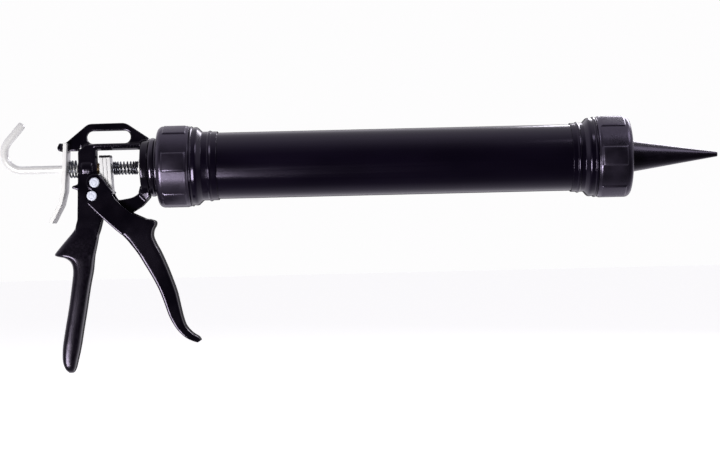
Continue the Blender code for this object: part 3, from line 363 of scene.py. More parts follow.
def tube_paint():
    """Satin paint on a drawn tube, whose streaks run along the barrel."""
    material, tree, shader, place = start_finish(
        "black_tube_paint", ior=1.57, sheen=BLACK_SHEEN)
    streaks = noise(tree, place, 2.2 * MM, stretch=(45, 1, 1), detail=3.0)
    clouds = noise(tree, place, 30 * MM, stretch=(2.5, 1, 1))
    colour = clouded(tree, clouds, (0.0026, 0.0014, 0.0058), (0.0044, 0.0025, 0.0092))
    hazes = maths(tree, "ADD", between(tree, streaks, 0.15, 0.19),
                  between(tree, clouds, -0.015, 0.015))
    dress(tree, shader, colour, hazes)
    lines = emboss(tree, shader, streaks, 0.004 * MM)
    emboss(tree, shader, noise(tree, place, 0.8 * MM), 0.003 * MM, lines)
    return material


COAT = powder_coat("black_powder_coat")
HANDLE_COAT = powder_coat("handle_powder_coat", GRIP_SHEEN_LEVEL)
NECK_COAT = powder_coat("neck_powder_coat", ior=1.9)
PAINT = tube_paint()
print("finishes:", COAT.name, HANDLE_COAT.name, NECK_COAT.name, PAINT.name)

# %% [markdown]
# ### Moulded plastic
# The ring caps come from a spark-eroded tool: a fine pebble grain that breaks the light into
# a soft grey sheen. The edges of the grip pads are paler, partly where hands polish them and
# partly as a painted edge highlight. The nozzle's tool is smoother, and its long taper keeps
# faint flow lines.

# %% Cap and nozzle plastic
def cap_plastic():
    """Dark plastic with the pebble grain of a spark-eroded tool."""
    material, tree, shader, place = start_finish(
        "dark_cap_plastic", ior=2.0, sheen=BLACK_SHEEN)
    clouds = noise(tree, place, 12 * MM, detail=3.0)
    colour = clouded(tree, clouds, (0.0035, 0.0025, 0.0060), (0.0070, 0.0050, 0.0110))
    # paler pad edges: partly wear, partly a painted edge highlight
    wear_and_edge_highlight = edges(tree, 0.53, 0.60)
    dress(tree, shader, blend(tree, wear_and_edge_highlight, colour, (0.060, 0.052, 0.078)),
          between(tree, clouds, 0.27, 0.34))
    pebbles = emboss(tree, shader, noise(tree, place, 1.4 * MM, detail=3.0), 0.05 * MM)
    emboss(tree, shader, noise(tree, place, 0.30 * MM), 0.010 * MM, pebbles)
    return material


def nozzle_plastic():
    """Smoother plastic with the flow lines of a long thin moulding."""
    material, tree, shader, place = start_finish(
        "black_nozzle_plastic", ior=1.6, sheen=BLACK_SHEEN)
    flow = noise(tree, place, 1.6 * MM, stretch=(18, 1, 1))
    clouds = noise(tree, place, 10 * MM)
    colour = clouded(tree, clouds, (0.0022, 0.0015, 0.0034), (0.0044, 0.0031, 0.0066))
    dress(tree, shader, colour, between(tree, flow, 0.22, 0.32))
    lines = emboss(tree, shader, flow, 0.008 * MM)
    emboss(tree, shader, noise(tree, place, 0.5 * MM), 0.006 * MM, lines)
    return material


PLASTIC = cap_plastic()
NOZZLE_PLASTIC = nozzle_plastic()
print("finishes:", PLASTIC.name, NOZZLE_PLASTIC.name)

# %% [markdown]
# ### Bare metal
# Rod, plates, rivets and catch are zinc plated: pale, a little cloudy, and satin rather than
# mirror-like. Such matt plating scatters nearly all its light, so these finishes are only
# partly metallic. The plates' upper edges are painted dark, a painted shade where their tops
# fall in shadow. Spring wire is a true dark metal, and the bush is sintered bronze whose colour
# is darkened as painted shade, for the shadow its end sits in.

# %% Zinc, spring steel and bronze
PLATE_SHADE_LEVEL = 8.4 * MM         # the plates are painted dark above this height, a painted shade on their upper edges
PLATE_SHADE_FADE = 0.15 * MM


def plated(name, pale, deep, smooth, grain, stretch, metallic=1.0, painted_shade_above=None):
    """Plated or bare metal, clouded between two colours and between two roughnesses, and painted
    dark above a given height as painted shade.
    """
    material, tree, shader, place = start_finish(name, metallic=metallic)
    clouds = noise(tree, place, 6 * MM, detail=4.0)
    brushed = noise(tree, place, grain, stretch=stretch)
    colour = clouded(tree, clouds, pale, deep)
    # painted shade: the plates' upper edges turn dark, where their tops fall in shadow
    if painted_shade_above is not None:
        painted_top_shade = between(tree, level_of(tree, place), 0, 1,
                           painted_shade_above - PLATE_SHADE_FADE, painted_shade_above + PLATE_SHADE_FADE)
        colour = blend(tree, painted_top_shade, colour, (0.012, 0.011, 0.014))
    hazes = maths(tree, "ADD", between(tree, clouds, *smooth), between(tree, brushed, -0.04, 0.05))
    dress(tree, shader, colour, hazes)
    emboss(tree, shader, brushed, 0.004 * MM)
    return material


ZINC = plated("bright_zinc", (1.0, 1.0, 1.0), (0.96, 0.96, 0.97),
              (0.36, 0.46), 0.4 * MM, (1, 1, 12), metallic=0.05)
PLATE_ZINC = plated("plate_zinc", (0.98, 0.98, 0.99), (0.94, 0.94, 0.96),
                    (0.36, 0.46), 0.4 * MM, (1, 1, 12), metallic=0.1, painted_shade_above=PLATE_SHADE_LEVEL)
RIVET_ZINC = plated("rivet_zinc", (0.77, 0.80, 0.93), (0.71, 0.74, 0.87),
                    (0.42, 0.52), 0.6 * MM, (1, 1, 1), metallic=0.3)
ROD_ZINC = plated("rod_zinc", (0.99, 0.99, 1.0), (0.95, 0.95, 0.96),
                  (0.22, 0.32), 0.4 * MM, (25, 1, 1), metallic=0.2)
WIRE = plated("spring_wire", (0.15, 0.16, 0.19), (0.08, 0.08, 0.10),
              (0.16, 0.26), 0.3 * MM, (1, 6, 6))
# the bronze is darkened as painted shade, for the shadow the bush's end sits in
SHADE_DARKENED_BRONZE = plated("bush_bronze", (0.26, 0.18, 0.10), (0.15, 0.11, 0.07),
                (0.34, 0.48), 0.5 * MM, (1, 1, 1))
print("metals:", ", ".join(metal.name for metal in (ZINC, PLATE_ZINC, RIVET_ZINC, ROD_ZINC, WIRE,
                                                    SHADE_DARKENED_BRONZE)))

# %% [markdown]
# ## Shaping tools
# Nearly everything on the gun is turned round an axis or cut from plate, so a few helpers go
# a long way. `rounded` swaps the corners of an outline for arcs, the way a designer writes a
# radius beside a corner. `turned` spins a profile round the barrel's axis, `loft` skins a
# row of sections, and `plate` fills an outline and rolls its edges over.

# %% Outlines and solids
NEARLY_STRAIGHT = math.radians(89)   # half the angle of a corner that is left as it is
NO_RADIUS = 1e-7


def rounded(corners, steps=5):
    """Outline points from corners of (across, up, radius). A radius of 0 keeps the corner."""
    points = []
    for i, (*corner, radius) in enumerate(corners):
        here = Vector(corner)
        before = Vector(corners[i - 1][:2]) - here
        after = Vector(corners[(i + 1) % len(corners)][:2]) - here
        if radius <= 0 or before.length == 0 or after.length == 0:
            points.append(tuple(here))
            continue
        half = before.angle(after) / 2
        if half > NEARLY_STRAIGHT:
            points.append(tuple(here))
            continue
        reach = min(radius / math.tan(half), 0.49 * before.length, 0.49 * after.length)
        true_radius = reach * math.tan(half)
        start = here + before.normalized() * reach
        end = here + after.normalized() * reach
        middle = (before.normalized() + after.normalized()).normalized()
        centre = here + middle * (true_radius / math.sin(half))
        first = math.atan2(*(start - centre).yx)
        sweep = (math.atan2(*(end - centre).yx) - first + math.pi) % math.tau - math.pi
        for step in range(steps + 1):
            angle = first + sweep * step / steps
            points.append((centre.x + true_radius * math.cos(angle),
                           centre.y + true_radius * math.sin(angle)))
    return points


def in_mm(corners):
    """Corners given in millimetres, turned into metres."""
    return [tuple(value * MM for value in corner) for corner in corners]


def turned(profile, steps):
    """Spins a closed profile of (along, radius) round the X axis. A radius of 0 is a pole."""
    shape = bmesh.new()
    rings = []
    for along, radius in profile:
        if radius < NO_RADIUS:
            rings.append([shape.verts.new((along, 0, 0))])
            continue
        rings.append([
            shape.verts.new((along, radius * math.cos(angle), radius * math.sin(angle)))
            for angle in (math.tau * i / steps for i in range(steps))
        ])
    for first, second in zip(rings, rings[1:] + rings[:1]):
        for i in range(steps):
            j = (i + 1) % steps
            corners = [first[i % len(first)], first[j % len(first)],
                       second[j % len(second)], second[i % len(second)]]
            distinct = list(dict.fromkeys(corners))
            if len(distinct) > 2:
                shape.faces.new(distinct)
    bmesh.ops.recalc_face_normals(shape, faces=shape.faces)
    return shape


def loft(rings):
    """Skins rings of points that all have the same count, and closes both ends."""
    shape = bmesh.new()
    loops = [[shape.verts.new(point) for point in ring] for ring in rings]
    for first, second in zip(loops, loops[1:]):
        for i in range(len(first)):
            j = (i + 1) % len(first)
            shape.faces.new((first[i], first[j], second[j], second[i]))
    shape.faces.new(loops[0])
    shape.faces.new(loops[-1])
    bmesh.ops.recalc_face_normals(shape, faces=shape.faces)
    return shape


def plate(outline, holes, half, edge, centre=0.0):
    """A flat plate across the XZ plane, from a filled outline, with its edges rolled over."""
    curve = bpy.data.curves.new("plate_outline", "CURVE")
    curve.dimensions = "2D"
    curve.fill_mode = "BOTH"
    curve.extrude = half - edge
    curve.bevel_depth = edge
    curve.bevel_resolution = 3
    curve.offset = -edge
    for loop in (outline, *holes):
        spline = curve.splines.new("POLY")
        spline.points.add(len(loop) - 1)
        for point, (x, z) in zip(spline.points, loop):
            point.co = (x, z, 0, 1)
        spline.use_cyclic_u = True
    holder = bpy.data.objects.new("plate_outline", curve)
    scene.collection.objects.link(holder)
    depsgraph = bpy.context.evaluated_depsgraph_get()
    mesh = bpy.data.meshes.new_from_object(holder.evaluated_get(depsgraph))
    bpy.data.objects.remove(holder)
    bpy.data.curves.remove(curve)
    mesh.transform(Matrix.Translation((0, centre, 0)) @ Matrix.Rotation(math.pi / 2, 4, "X"))
    shape = bmesh.new()
    shape.from_mesh(mesh)
    bpy.data.meshes.remove(mesh)
    bmesh.ops.remove_doubles(shape, verts=shape.verts, dist=1e-6)
    bmesh.ops.recalc_face_normals(shape, faces=shape.faces)
    return shape


def moved(shape, matrix):
    shape.transform(matrix)
    return shape


def bar(low_x, high_x, radius, steps=48, centre=(0, 0)):
    """A solid round bar along X, or a hexagon bar with 6 steps."""
    rings = [[(x, centre[0] + radius * math.cos(math.tau * i / steps),
               centre[1] + radius * math.sin(math.tau * i / steps)) for i in range(steps)]
             for x in (low_x, high_x)]
    return loft(rings)


def cross_bar(centre, radius, reach):
    """A solid round bar along Y, used as a cutter."""
    return moved(bar(-reach, reach, radius), Matrix.Translation(centre) @ Matrix.Rotation(
        math.pi / 2, 4, "Z"))


def gather(shapes):
    """Puts several closed shapes in one bmesh."""
    everything = bmesh.new()
    for shape in shapes:
        mesh = bpy.data.meshes.new("part")
        shape.to_mesh(mesh)
        shape.free()
        everything.from_mesh(mesh)
        bpy.data.meshes.remove(mesh)
    return everything


print("an arc for a corner:", len(rounded([(0, 0, 1), (4, 0, 1), (4, 4, 1)])), "points")

# %% [markdown]
# A finished piece needs its material, smooth shading with crisp creases, the body that
# carries it and the plain solids that it stands for. Doing all of that in one helper means
# that no piece is left behind when a joint moves.

# %% Finishing a piece
def to_object(name, shape):
    mesh = bpy.data.meshes.new(name)
    shape.to_mesh(mesh)
    shape.free()
    piece = bpy.data.objects.new(name, mesh)
    scene.collection.objects.link(piece)
    return piece


def lift_off(piece):
    """Takes the shape off a piece that was only a step on the way."""
    shape = bmesh.new()
    shape.from_mesh(piece.data)
    bpy.data.objects.remove(piece)
    return shape


def bake_modifiers(piece):
    """Turns the piece into the plain mesh that its modifiers make."""
    bpy.context.view_layer.update()
    depsgraph = bpy.context.evaluated_depsgraph_get()
    mesh = bpy.data.meshes.new_from_object(piece.evaluated_get(depsgraph))
    piece.modifiers.clear()
    old = piece.data
    piece.data = mesh
    bpy.data.meshes.remove(old)
    mesh.name = piece.name
    return piece


def carve(piece, shape, operation="DIFFERENCE"):
    """Cuts a shape out of a piece, or joins it on."""
    tool = to_object("carving_tool", shape)
    modifier = piece.modifiers.new("carve", "BOOLEAN")
    modifier.operation = operation
    modifier.object = tool
    bake_modifiers(piece)
    bpy.data.objects.remove(tool)
    return piece


def finish_piece(piece, material, body, nodes, angle=35):
    """Gives a piece its finish, its body and the plain solids that it replaces.

    Edges sharper than the angle, in degrees, stay crisp.
    """
    piece.data.materials.clear()
    piece.data.materials.append(material)
    piece.data.shade_smooth()
    piece.data.set_sharp_from_angle(angle=math.radians(angle))
    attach(piece, body)
    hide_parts(*nodes)
    print(f"{piece.name}: {len(piece.data.polygons)} faces on {body}")


def flat_ring(name, node, bore, inner_edge, outer_edge, steps):
    """A washer or a bush that fills its plain solid, with its edges broken."""
    low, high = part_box(node)
    return to_object(name, turned(rounded([
        (low.x, bore, inner_edge), (low.x, high.z, outer_edge), (high.x, high.z, outer_edge),
        (high.x, bore, inner_edge)]), steps))


# %% [markdown]
# Geometry Nodes make whatever repeats or follows a path. Five small trees are enough for this
# gun: a coil with a round wire, a thread with a tapered section, copies round the barrel's
# axis, copies in a row, and a rod along a path. Each ends by realizing its instances and
# setting the material, and its result is kept as a plain mesh.

# %% Geometry Nodes trees
def new_tree(name, sizes):
    """A tree with a geometry input, the named inputs and a material. Returns its inputs too."""
    tree = bpy.data.node_groups.new(name, "GeometryNodeTree")
    tree.interface.new_socket("Geometry", in_out="INPUT", socket_type="NodeSocketGeometry")
    tree.interface.new_socket("Geometry", in_out="OUTPUT", socket_type="NodeSocketGeometry")
    for label, kind in {**sizes, "Material": "Material"}.items():
        tree.interface.new_socket(label, in_out="INPUT", socket_type=f"NodeSocket{kind}")
    return tree, tree.nodes.new("NodeGroupInput").outputs


def close_tree(tree, given, geometry):
    """Ends a tree: real geometry with the material on it."""
    whole = add_node(tree, "GeometryNodeRealizeInstances", {"Geometry": geometry})
    dressed = add_node(tree, "GeometryNodeSetMaterial", {
        "Geometry": whole.outputs[0], "Material": given["Material"]})
    tree.links.new(dressed.outputs[0], tree.nodes.new("NodeGroupOutput").inputs[0])
    return tree


def grow(name, base, tree, material, values):
    """Runs a tree on a base shape and keeps the plain mesh that comes out."""
    piece = to_object(name, base)
    modifier = piece.modifiers.new(tree.name, "NODES")
    modifier.node_group = tree
    sockets = {item.name: item.identifier for item in tree.interface.items_tree
               if item.in_out == "INPUT"}
    for label, value in {**values, "Material": material}.items():
        modifier[sockets[label]] = value
    return bake_modifiers(piece)


SEWING_DISTANCE = 0.002 * MM
HELIX_SIZES = {"Start": "Float", "Length": "Float", "Radius": "Float", "Turns": "Float",
               "Phase": "Float", "Closing": "Float", "Steps": "Int"}


def helix_curve(tree, given):
    """A right-handed helix about Z whose ends can be wound closer than its middle."""
    line = add_node(tree, "GeometryNodeCurvePrimitiveLine")
    curve = add_node(tree, "GeometryNodeResampleCurve", {
        "Curve": line.outputs[0], "Count": given["Steps"]}).outputs[0]
    along = add_node(tree, "GeometryNodeSplineParameter").outputs["Factor"]
    turn = maths(tree, "MULTIPLY", along, math.tau)
    angle = maths(tree, "ADD", maths(tree, "MULTIPLY", turn, given["Turns"]), given["Phase"])
    wave = maths(tree, "MULTIPLY", maths(tree, "SINE", turn), given["Closing"])
    share = maths(tree, "SUBTRACT", along, maths(tree, "DIVIDE", wave, math.tau))
    height = maths(tree, "ADD", maths(tree, "MULTIPLY", share, given["Length"]), given["Start"])
    back = maths(tree, "MULTIPLY", maths(tree, "SINE", angle), given["Radius"])
    place = add_node(tree, "ShaderNodeCombineXYZ", {
        0: maths(tree, "MULTIPLY", back, -1.0),
        1: maths(tree, "MULTIPLY", maths(tree, "COSINE", angle), given["Radius"]), 2: height})
    bent = add_node(tree, "GeometryNodeSetPosition", {
        "Geometry": curve, "Position": place.outputs[0]})
    return add_node(tree, "GeometryNodeSetCurveNormal", {"Curve": bent.outputs[0]},
                    mode="Z_UP").outputs[0]


def close_helix(tree, given, curve, section):
    """Sweeps the section along the helix and lays it down along the barrel."""
    swept = add_node(tree, "GeometryNodeCurveToMesh", {
        "Curve": curve, "Profile Curve": section, "Fill Caps": True})
    laid = add_node(tree, "GeometryNodeTransform", {
        "Geometry": swept.outputs[0], "Rotation": (0, math.pi / 2, 0)})
    return close_tree(tree, given, laid.outputs[0])


def coil_tree():
    """A wire wound along X."""
    tree, given = new_tree("coil", {**HELIX_SIZES, "Wire": "Float", "Wire Sides": "Int"})
    wire = add_node(tree, "GeometryNodeCurvePrimitiveCircle", {
        "Resolution": given["Wire Sides"], "Radius": given["Wire"]})
    return close_helix(tree, given, helix_curve(tree, given), wire.outputs[0])


def thread_tree():
    """A tapered ridge wound along X."""
    tree, given = new_tree("thread", {**HELIX_SIZES, "Root": "Float", "Crest": "Float",
                                      "Height": "Float"})
    section = add_node(tree, "GeometryNodeCurvePrimitiveQuadrilateral", {
        "Bottom Width": given["Root"], "Top Width": given["Crest"], "Height": given["Height"],
        "Offset": 0.0}, mode="TRAPEZOID")
    stood = add_node(tree, "GeometryNodeTransform", {
        "Geometry": section.outputs[0], "Rotation": (0, 0, -math.pi / 2)})
    return close_helix(tree, given, helix_curve(tree, given), stood.outputs[0])


def ring_tree():
    """Copies round the X axis, sewn where they meet."""
    tree, given = new_tree("ring_of_copies", {"Count": "Int"})
    points = add_node(tree, "GeometryNodePoints", {"Count": given["Count"]})
    turn = maths(tree, "DIVIDE", math.tau, given["Count"])
    angle = maths(tree, "MULTIPLY", add_node(tree, "GeometryNodeInputIndex").outputs[0], turn)
    spin = add_node(tree, "ShaderNodeCombineXYZ", {0: angle})
    copies = add_node(tree, "GeometryNodeInstanceOnPoints", {
        "Points": points.outputs[0], "Instance": given["Geometry"], "Rotation": spin.outputs[0]})
    whole = add_node(tree, "GeometryNodeRealizeInstances", {"Geometry": copies.outputs[0]})
    sewn = add_node(tree, "GeometryNodeMergeByDistance", {
        "Geometry": whole.outputs[0], "Distance": SEWING_DISTANCE})
    return close_tree(tree, given, sewn.outputs[0])


def row_tree():
    """Copies at equal steps along a line."""
    tree, given = new_tree("row_of_copies", {"Count": "Int", "Step": "Vector"})
    line = add_node(tree, "GeometryNodeMeshLine", {
        "Count": given["Count"], "Offset": given["Step"]})
    copies = add_node(tree, "GeometryNodeInstanceOnPoints", {
        "Points": line.outputs[0], "Instance": given["Geometry"]})
    return close_tree(tree, given, copies.outputs[0])


def sweep_tree():
    """A round rod along a path, as thin at each point as its share says."""
    tree, given = new_tree("rod_along_path", {"Radius": "Float", "Sides": "Int"})
    path = add_node(tree, "GeometryNodeMeshToCurve", {"Mesh": given["Geometry"]})
    section = add_node(tree, "GeometryNodeCurvePrimitiveCircle", {
        "Resolution": given["Sides"], "Radius": given["Radius"]})
    share = add_node(tree, "GeometryNodeInputNamedAttribute", {"Name": "share"},
                     data_type="FLOAT")
    swept = add_node(tree, "GeometryNodeCurveToMesh", {
        "Curve": path.outputs[0], "Profile Curve": section.outputs[0],
        "Scale": share.outputs["Attribute"], "Fill Caps": True})
    return close_tree(tree, given, swept.outputs[0])


COIL = coil_tree()
THREAD = thread_tree()
RING = ring_tree()
ROW = row_tree()
SWEEP = sweep_tree()
print("trees:", ", ".join(tree.name for tree in (COIL, THREAD, RING, ROW, SWEEP)))

# %% [markdown]
# ## Barrel tube
# The barrel is a drawn steel tube, 53 mm across, painted after its ends are cut. A spun
# profile gives the wall and the small rounding that deburring leaves on both lips. It needs
# many steps round, because its straight reflections would show any facet.

# %% Barrel tube
FINE_ROUND = 192                # steps round the barrel's large pieces
TUBE_WALL = 1.2 * MM

tube_low, tube_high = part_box("barrel_tube")
tube_radius = tube_high.z
BARREL_BACK_X, BARREL_FRONT_X = tube_low.x, tube_high.x
tube_profile = rounded([
    (BARREL_BACK_X, tube_radius, 0.4 * MM), (BARREL_FRONT_X, tube_radius, 0.4 * MM),
    (BARREL_FRONT_X, tube_radius - TUBE_WALL, 0.3 * MM),
    (BARREL_BACK_X, tube_radius - TUBE_WALL, 0.3 * MM)])
tube = to_object("fine_tube", turned(tube_profile, FINE_ROUND))
finish_piece(tube, PAINT, "barrel", ["barrel_tube"])

# %% [markdown]
# ## Threaded collars
# A moulded ferrule is glued to each end of the tube. It carries two turns of coarse thread,
# then a glossy shoulder that stops the cap, a taper down to a thin sleeve, and a bead that
# stiffens the sleeve's edge. The plain part is spun. The thread is a tapered section swept
# along a helix, which is then fused on, sunk a little so that no gap is left under it.

# %% Collars
THREAD_STEPS = 96               # per turn
THREAD_LEAD = 5.0 * MM
THREAD_TURNS = 2
THREAD_HEIGHT = 1.3 * MM
THREAD_ROOT = 2.6 * MM
THREAD_CREST = 1.4 * MM
THREAD_START = 2.4 * MM         # collar's end to the middle of its first thread
THREAD_PHASE = math.radians(3.5)
COLLAR_BORE = tube_radius + 0.3 * MM
COLLAR_ROOT = COLLAR_BORE + 1.2 * MM
COLLAR_SHOULDER = COLLAR_ROOT + 4.0 * MM
COLLAR_SLEEVE = COLLAR_BORE + 0.7 * MM
COLLAR_BEAD = COLLAR_SLEEVE + 1.1 * MM    # before its crest is rounded
BEAD_WIDTH = 3.2 * MM
RIM_FALL = (0.9 * MM, 1.0 * MM)           # along and down, from the rim to the taper
TAPER_START = COLLAR_SHOULDER - 0.4 * MM
THREAD_SINK = 0.3 * MM


def thread_first_x(end_x, inward):
    """Where the rearmost turn of the thread starts, on the collar with this end."""
    if inward > 0:
        return end_x + THREAD_START
    return end_x - THREAD_START - THREAD_TURNS * THREAD_LEAD


def thread_band(name, low_radius, high_radius, extra, first_x, turns, phase):
    """A helical band between two radii, widened by extra on each flank, as a bmesh."""
    height = high_radius - low_radius
    shape = lift_off(grow(name, bmesh.new(), THREAD, PAINT, {
        "Start": first_x, "Length": turns * THREAD_LEAD, "Radius": low_radius + height / 2,
        "Turns": float(turns), "Phase": phase, "Closing": 0.0,
        "Steps": round(turns * THREAD_STEPS) + 1,
        "Root": THREAD_ROOT + 2 * extra, "Crest": THREAD_CREST + 2 * extra, "Height": height}))
    bmesh.ops.recalc_face_normals(shape, faces=shape.faces)
    return shape


def make_collar(name, node, end_x, inward, rim, shoulder, taper, sleeve, tail):
    """A collar from its threaded end to its sleeve. Lengths are measured inward along X."""
    low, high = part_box(node)
    length = high.x - low.x
    threaded = length - tail - BEAD_WIDTH - sleeve - taper - shoulder
    ends = threaded + shoulder
    foot = ends + taper
    bead = foot + sleeve
    corners = [
        (0, COLLAR_ROOT, 0.4 * MM), (threaded, COLLAR_ROOT, 0.3 * MM),
        (threaded, COLLAR_SHOULDER, 0.5 * MM), (threaded + rim, COLLAR_SHOULDER, 0.5 * MM),
        (threaded + rim + RIM_FALL[0], COLLAR_SHOULDER - RIM_FALL[1], 0.6 * MM),
        (ends, TAPER_START, 3.2 * MM), (foot, COLLAR_SLEEVE, 0.9 * MM),
        (bead, COLLAR_SLEEVE, 0.3 * MM), (bead + 0.5 * BEAD_WIDTH, COLLAR_BEAD, 2.4 * MM),
        (bead + BEAD_WIDTH, COLLAR_SLEEVE, 0.3 * MM),
        (length, COLLAR_SLEEVE, 0.3 * MM), (length, COLLAR_BORE, 0), (0, COLLAR_BORE, 0)]
    profile = [(end_x + inward * along, radius) for along, radius in rounded(corners)]
    piece = to_object(name, turned(profile, FINE_ROUND))
    carve(piece, thread_band(
        f"{name}_thread", COLLAR_ROOT - THREAD_SINK, COLLAR_ROOT + THREAD_HEIGHT, 0,
        thread_first_x(end_x, inward), THREAD_TURNS, THREAD_PHASE), "UNION")
    finish_piece(piece, PAINT, "barrel", [node], angle=30)


make_collar("fine_front_collar", "front_collar", BARREL_FRONT_X, -1, rim=1.6 * MM,
            shoulder=6.2 * MM, taper=3.6 * MM, sleeve=2.9 * MM, tail=3.7 * MM)
make_collar("fine_rear_collar", "rear_collar", BARREL_BACK_X, 1, rim=0.9 * MM,
            shoulder=5.0 * MM, taper=4.3 * MM, sleeve=4.4 * MM, tail=4.5 * MM)

# %% [markdown]
# ## Ring caps
# The two screwed caps look like a jar lid with six raised grip pads. One pad and the plain
# space beside it make a sixth of the cap, so only that sixth is modelled: a grid of points
# whose radius rises on the pad. The pad is a little flat, which is why each one catches the
# light as a patch of its own. Copies round the axis finish the ring, and a helical cutter
# leaves the thread groove in the bore.

# %% Ring caps
CAP_BORE = COLLAR_ROOT + 0.45 * MM
CAP_OUTSIDE = CAP_BORE + 3.95 * MM
CAP_ROUNDING = 4.5 * MM
PAD_HEIGHT = 1.1 * MM
PAD_FLATNESS = 0.55             # share of the way from round to flat
PAD_MARGIN = 2.5 * MM           # plain rim at the cap's open end
PAD_SETBACK = 0.3 * MM
PAD_COUNT = 6
PAD_WIDTH = math.radians(28)
PAD_EDGE = [(0.0, 0.0), (0.10, 0.12), (0.50, 0.50), (0.95, 0.90), (1.25, 1.0)]   # mm in, rise
PAD_STEPS = 12                  # across a pad, and across the space beside it
FACE_STEPS = 9                  # round the edge of the cap's face
THREAD_FIT = 0.45 * MM
GROOVE_RUN_IN = 1 / 12          # turns that the groove runs on past the thread


def pad_angles():
    """Angles and rises across one sixth of the cap: first the pad, then the plain space."""
    space = math.tau / PAD_COUNT - PAD_WIDTH
    edge = [(offset * MM / CAP_OUTSIDE, share) for offset, share in PAD_EDGE]
    inner = PAD_WIDTH - 2 * edge[-1][0]
    rows = edge + [(edge[-1][0] + inner * i / PAD_STEPS, 1.0) for i in range(1, PAD_STEPS)]
    rows += [(PAD_WIDTH - offset, share) for offset, share in reversed(edge)]
    rows += [(PAD_WIDTH + space * i / PAD_STEPS, 0.0) for i in range(1, PAD_STEPS + 1)]
    return rows


def cap_sixth(face_x, inward, length, lip, mouth, turn):
    """A sixth of the cap, open at both sides so that its copies can be sewn together."""
    start = CAP_ROUNDING + PAD_SETBACK
    end = length - PAD_MARGIN
    face = [(0, mouth, 0), (0, mouth + 0.5 * (CAP_OUTSIDE - CAP_ROUNDING - mouth), 0)]
    face += [(CAP_ROUNDING * (1 - math.cos(a)), CAP_OUTSIDE - CAP_ROUNDING * (1 - math.sin(a)), 0)
             for a in (math.pi / 2 * i / FACE_STEPS for i in range(FACE_STEPS + 1))]
    band = [(start + offset * MM, CAP_OUTSIDE, share) for offset, share in PAD_EDGE]
    band += [(end - offset * MM, CAP_OUTSIDE, share) for offset, share in reversed(PAD_EDGE)]
    rim = [(along, radius, 0) for along, radius in rounded([
        (length, CAP_OUTSIDE, 0.8 * MM), (length, CAP_BORE, 0.5 * MM),
        (lip, CAP_BORE, 0.3 * MM), (lip, mouth, 0.4 * MM)])]
    profile = face + band + rim
    shape = bmesh.new()
    grid = []
    for angle, rise in pad_angles():
        flat = math.cos(PAD_WIDTH / 2) / math.cos(angle - PAD_WIDTH / 2)
        column = []
        for along, radius, share in profile:
            lift = PAD_HEIGHT * share * rise
            if lift > 0:
                top = (CAP_OUTSIDE + PAD_HEIGHT) * (1 - PAD_FLATNESS * (1 - flat))
                lift = (top - CAP_OUTSIDE) * share * rise
            around = turn + angle
            column.append(shape.verts.new((
                face_x + inward * along, (radius + lift) * math.cos(around),
                (radius + lift) * math.sin(around))))
        grid.append(column)
    for first, second in zip(grid, grid[1:]):
        for i in range(len(profile)):
            j = (i + 1) % len(profile)
            shape.faces.new((first[i], first[j], second[j], second[i]))
    return shape


def make_ring_cap(name, node, inward, lip, mouth, turn, end_x, body):
    """A whole cap on the collar that ends at end_x, with a groove for the collar's thread."""
    low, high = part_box(node)
    length = high.x - low.x
    face_x = low.x if inward > 0 else high.x
    piece = grow(name, cap_sixth(face_x, inward, length, lip, mouth, turn), RING, PLASTIC,
                 {"Count": PAD_COUNT})
    shape = bmesh.new()
    shape.from_mesh(piece.data)
    bmesh.ops.recalc_face_normals(shape, faces=shape.faces)
    shape.to_mesh(piece.data)
    shape.free()
    first = thread_first_x(end_x, inward)
    if inward > 0:
        turns = math.ceil((face_x + length - first) / THREAD_LEAD) + 1 + GROOVE_RUN_IN
        start_turn = -GROOVE_RUN_IN
    else:
        turns = math.ceil((first - face_x + length) / THREAD_LEAD) + 1
        start_turn = -turns
        turns += THREAD_TURNS + GROOVE_RUN_IN
    carve(piece, thread_band(
        f"{name}_groove", CAP_BORE - THREAD_FIT, CAP_BORE + THREAD_HEIGHT, THREAD_FIT,
        first + start_turn * THREAD_LEAD, turns, THREAD_PHASE + math.tau * start_turn))
    finish_piece(piece, PLASTIC, body, [node], angle=32)


make_ring_cap("fine_front_cap", "front_cap", -1, lip=4.0 * MM, mouth=19.0 * MM,
              turn=math.radians(47), end_x=BARREL_FRONT_X, body="front_ring")
make_ring_cap("fine_rear_cap", "rear_cap", 1, lip=3.5 * MM, mouth=22.6 * MM,
              turn=math.radians(41.5), end_x=BARREL_BACK_X, body="rear_ring")

# %% [markdown]
# ## Nozzle
# The nozzle is a thin moulded cone on a flange that the front cap traps. Its tip is trimmed
# square, so it shows a small ring of wall. The cone is spun with a rounded lip at the tip and
# a fillet where it meets the flange.

# %% Nozzle
NOZZLE_TIP_WALL = 0.9 * MM
NOZZLE_BASE_WALL = 1.8 * MM
NOZZLE_FLANGE = 3.0 * MM
NOZZLE_LENGTH = 71.0 * MM       # tip to the cap's face
NOZZLE_TIP = 1.85 * MM
NOZZLE_BASE = 13.0 * MM         # radius at the cap's face

nozzle_low, nozzle_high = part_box("nozzle")
flange_x = nozzle_low.x + NOZZLE_FLANGE
base_radius = NOZZLE_TIP + (NOZZLE_BASE - NOZZLE_TIP) * (-flange_x) / NOZZLE_LENGTH
nozzle_profile = rounded([
    (0, NOZZLE_TIP, 0.35 * MM), (flange_x, base_radius, 1.0 * MM),
    (flange_x, nozzle_high.z, 0.4 * MM), (nozzle_low.x, nozzle_high.z, 0.4 * MM),
    (nozzle_low.x, base_radius - NOZZLE_BASE_WALL, 0.8 * MM),
    (0, NOZZLE_TIP - NOZZLE_TIP_WALL, 0.2 * MM)])
nozzle = to_object("fine_nozzle", turned(nozzle_profile, 128))
finish_piece(nozzle, NOZZLE_PLASTIC, "nozzle_cone", ["nozzle"])

# %% [markdown]
# ## Neck and its screws
# Between the handle and the rear cap sits a turned neck with two glossy beads. Its flange
# hides inside the cap, and three cap screws in its recess hold it to the casting. One screw
# is modelled with its hexagon socket, and copies round the axis give all three.

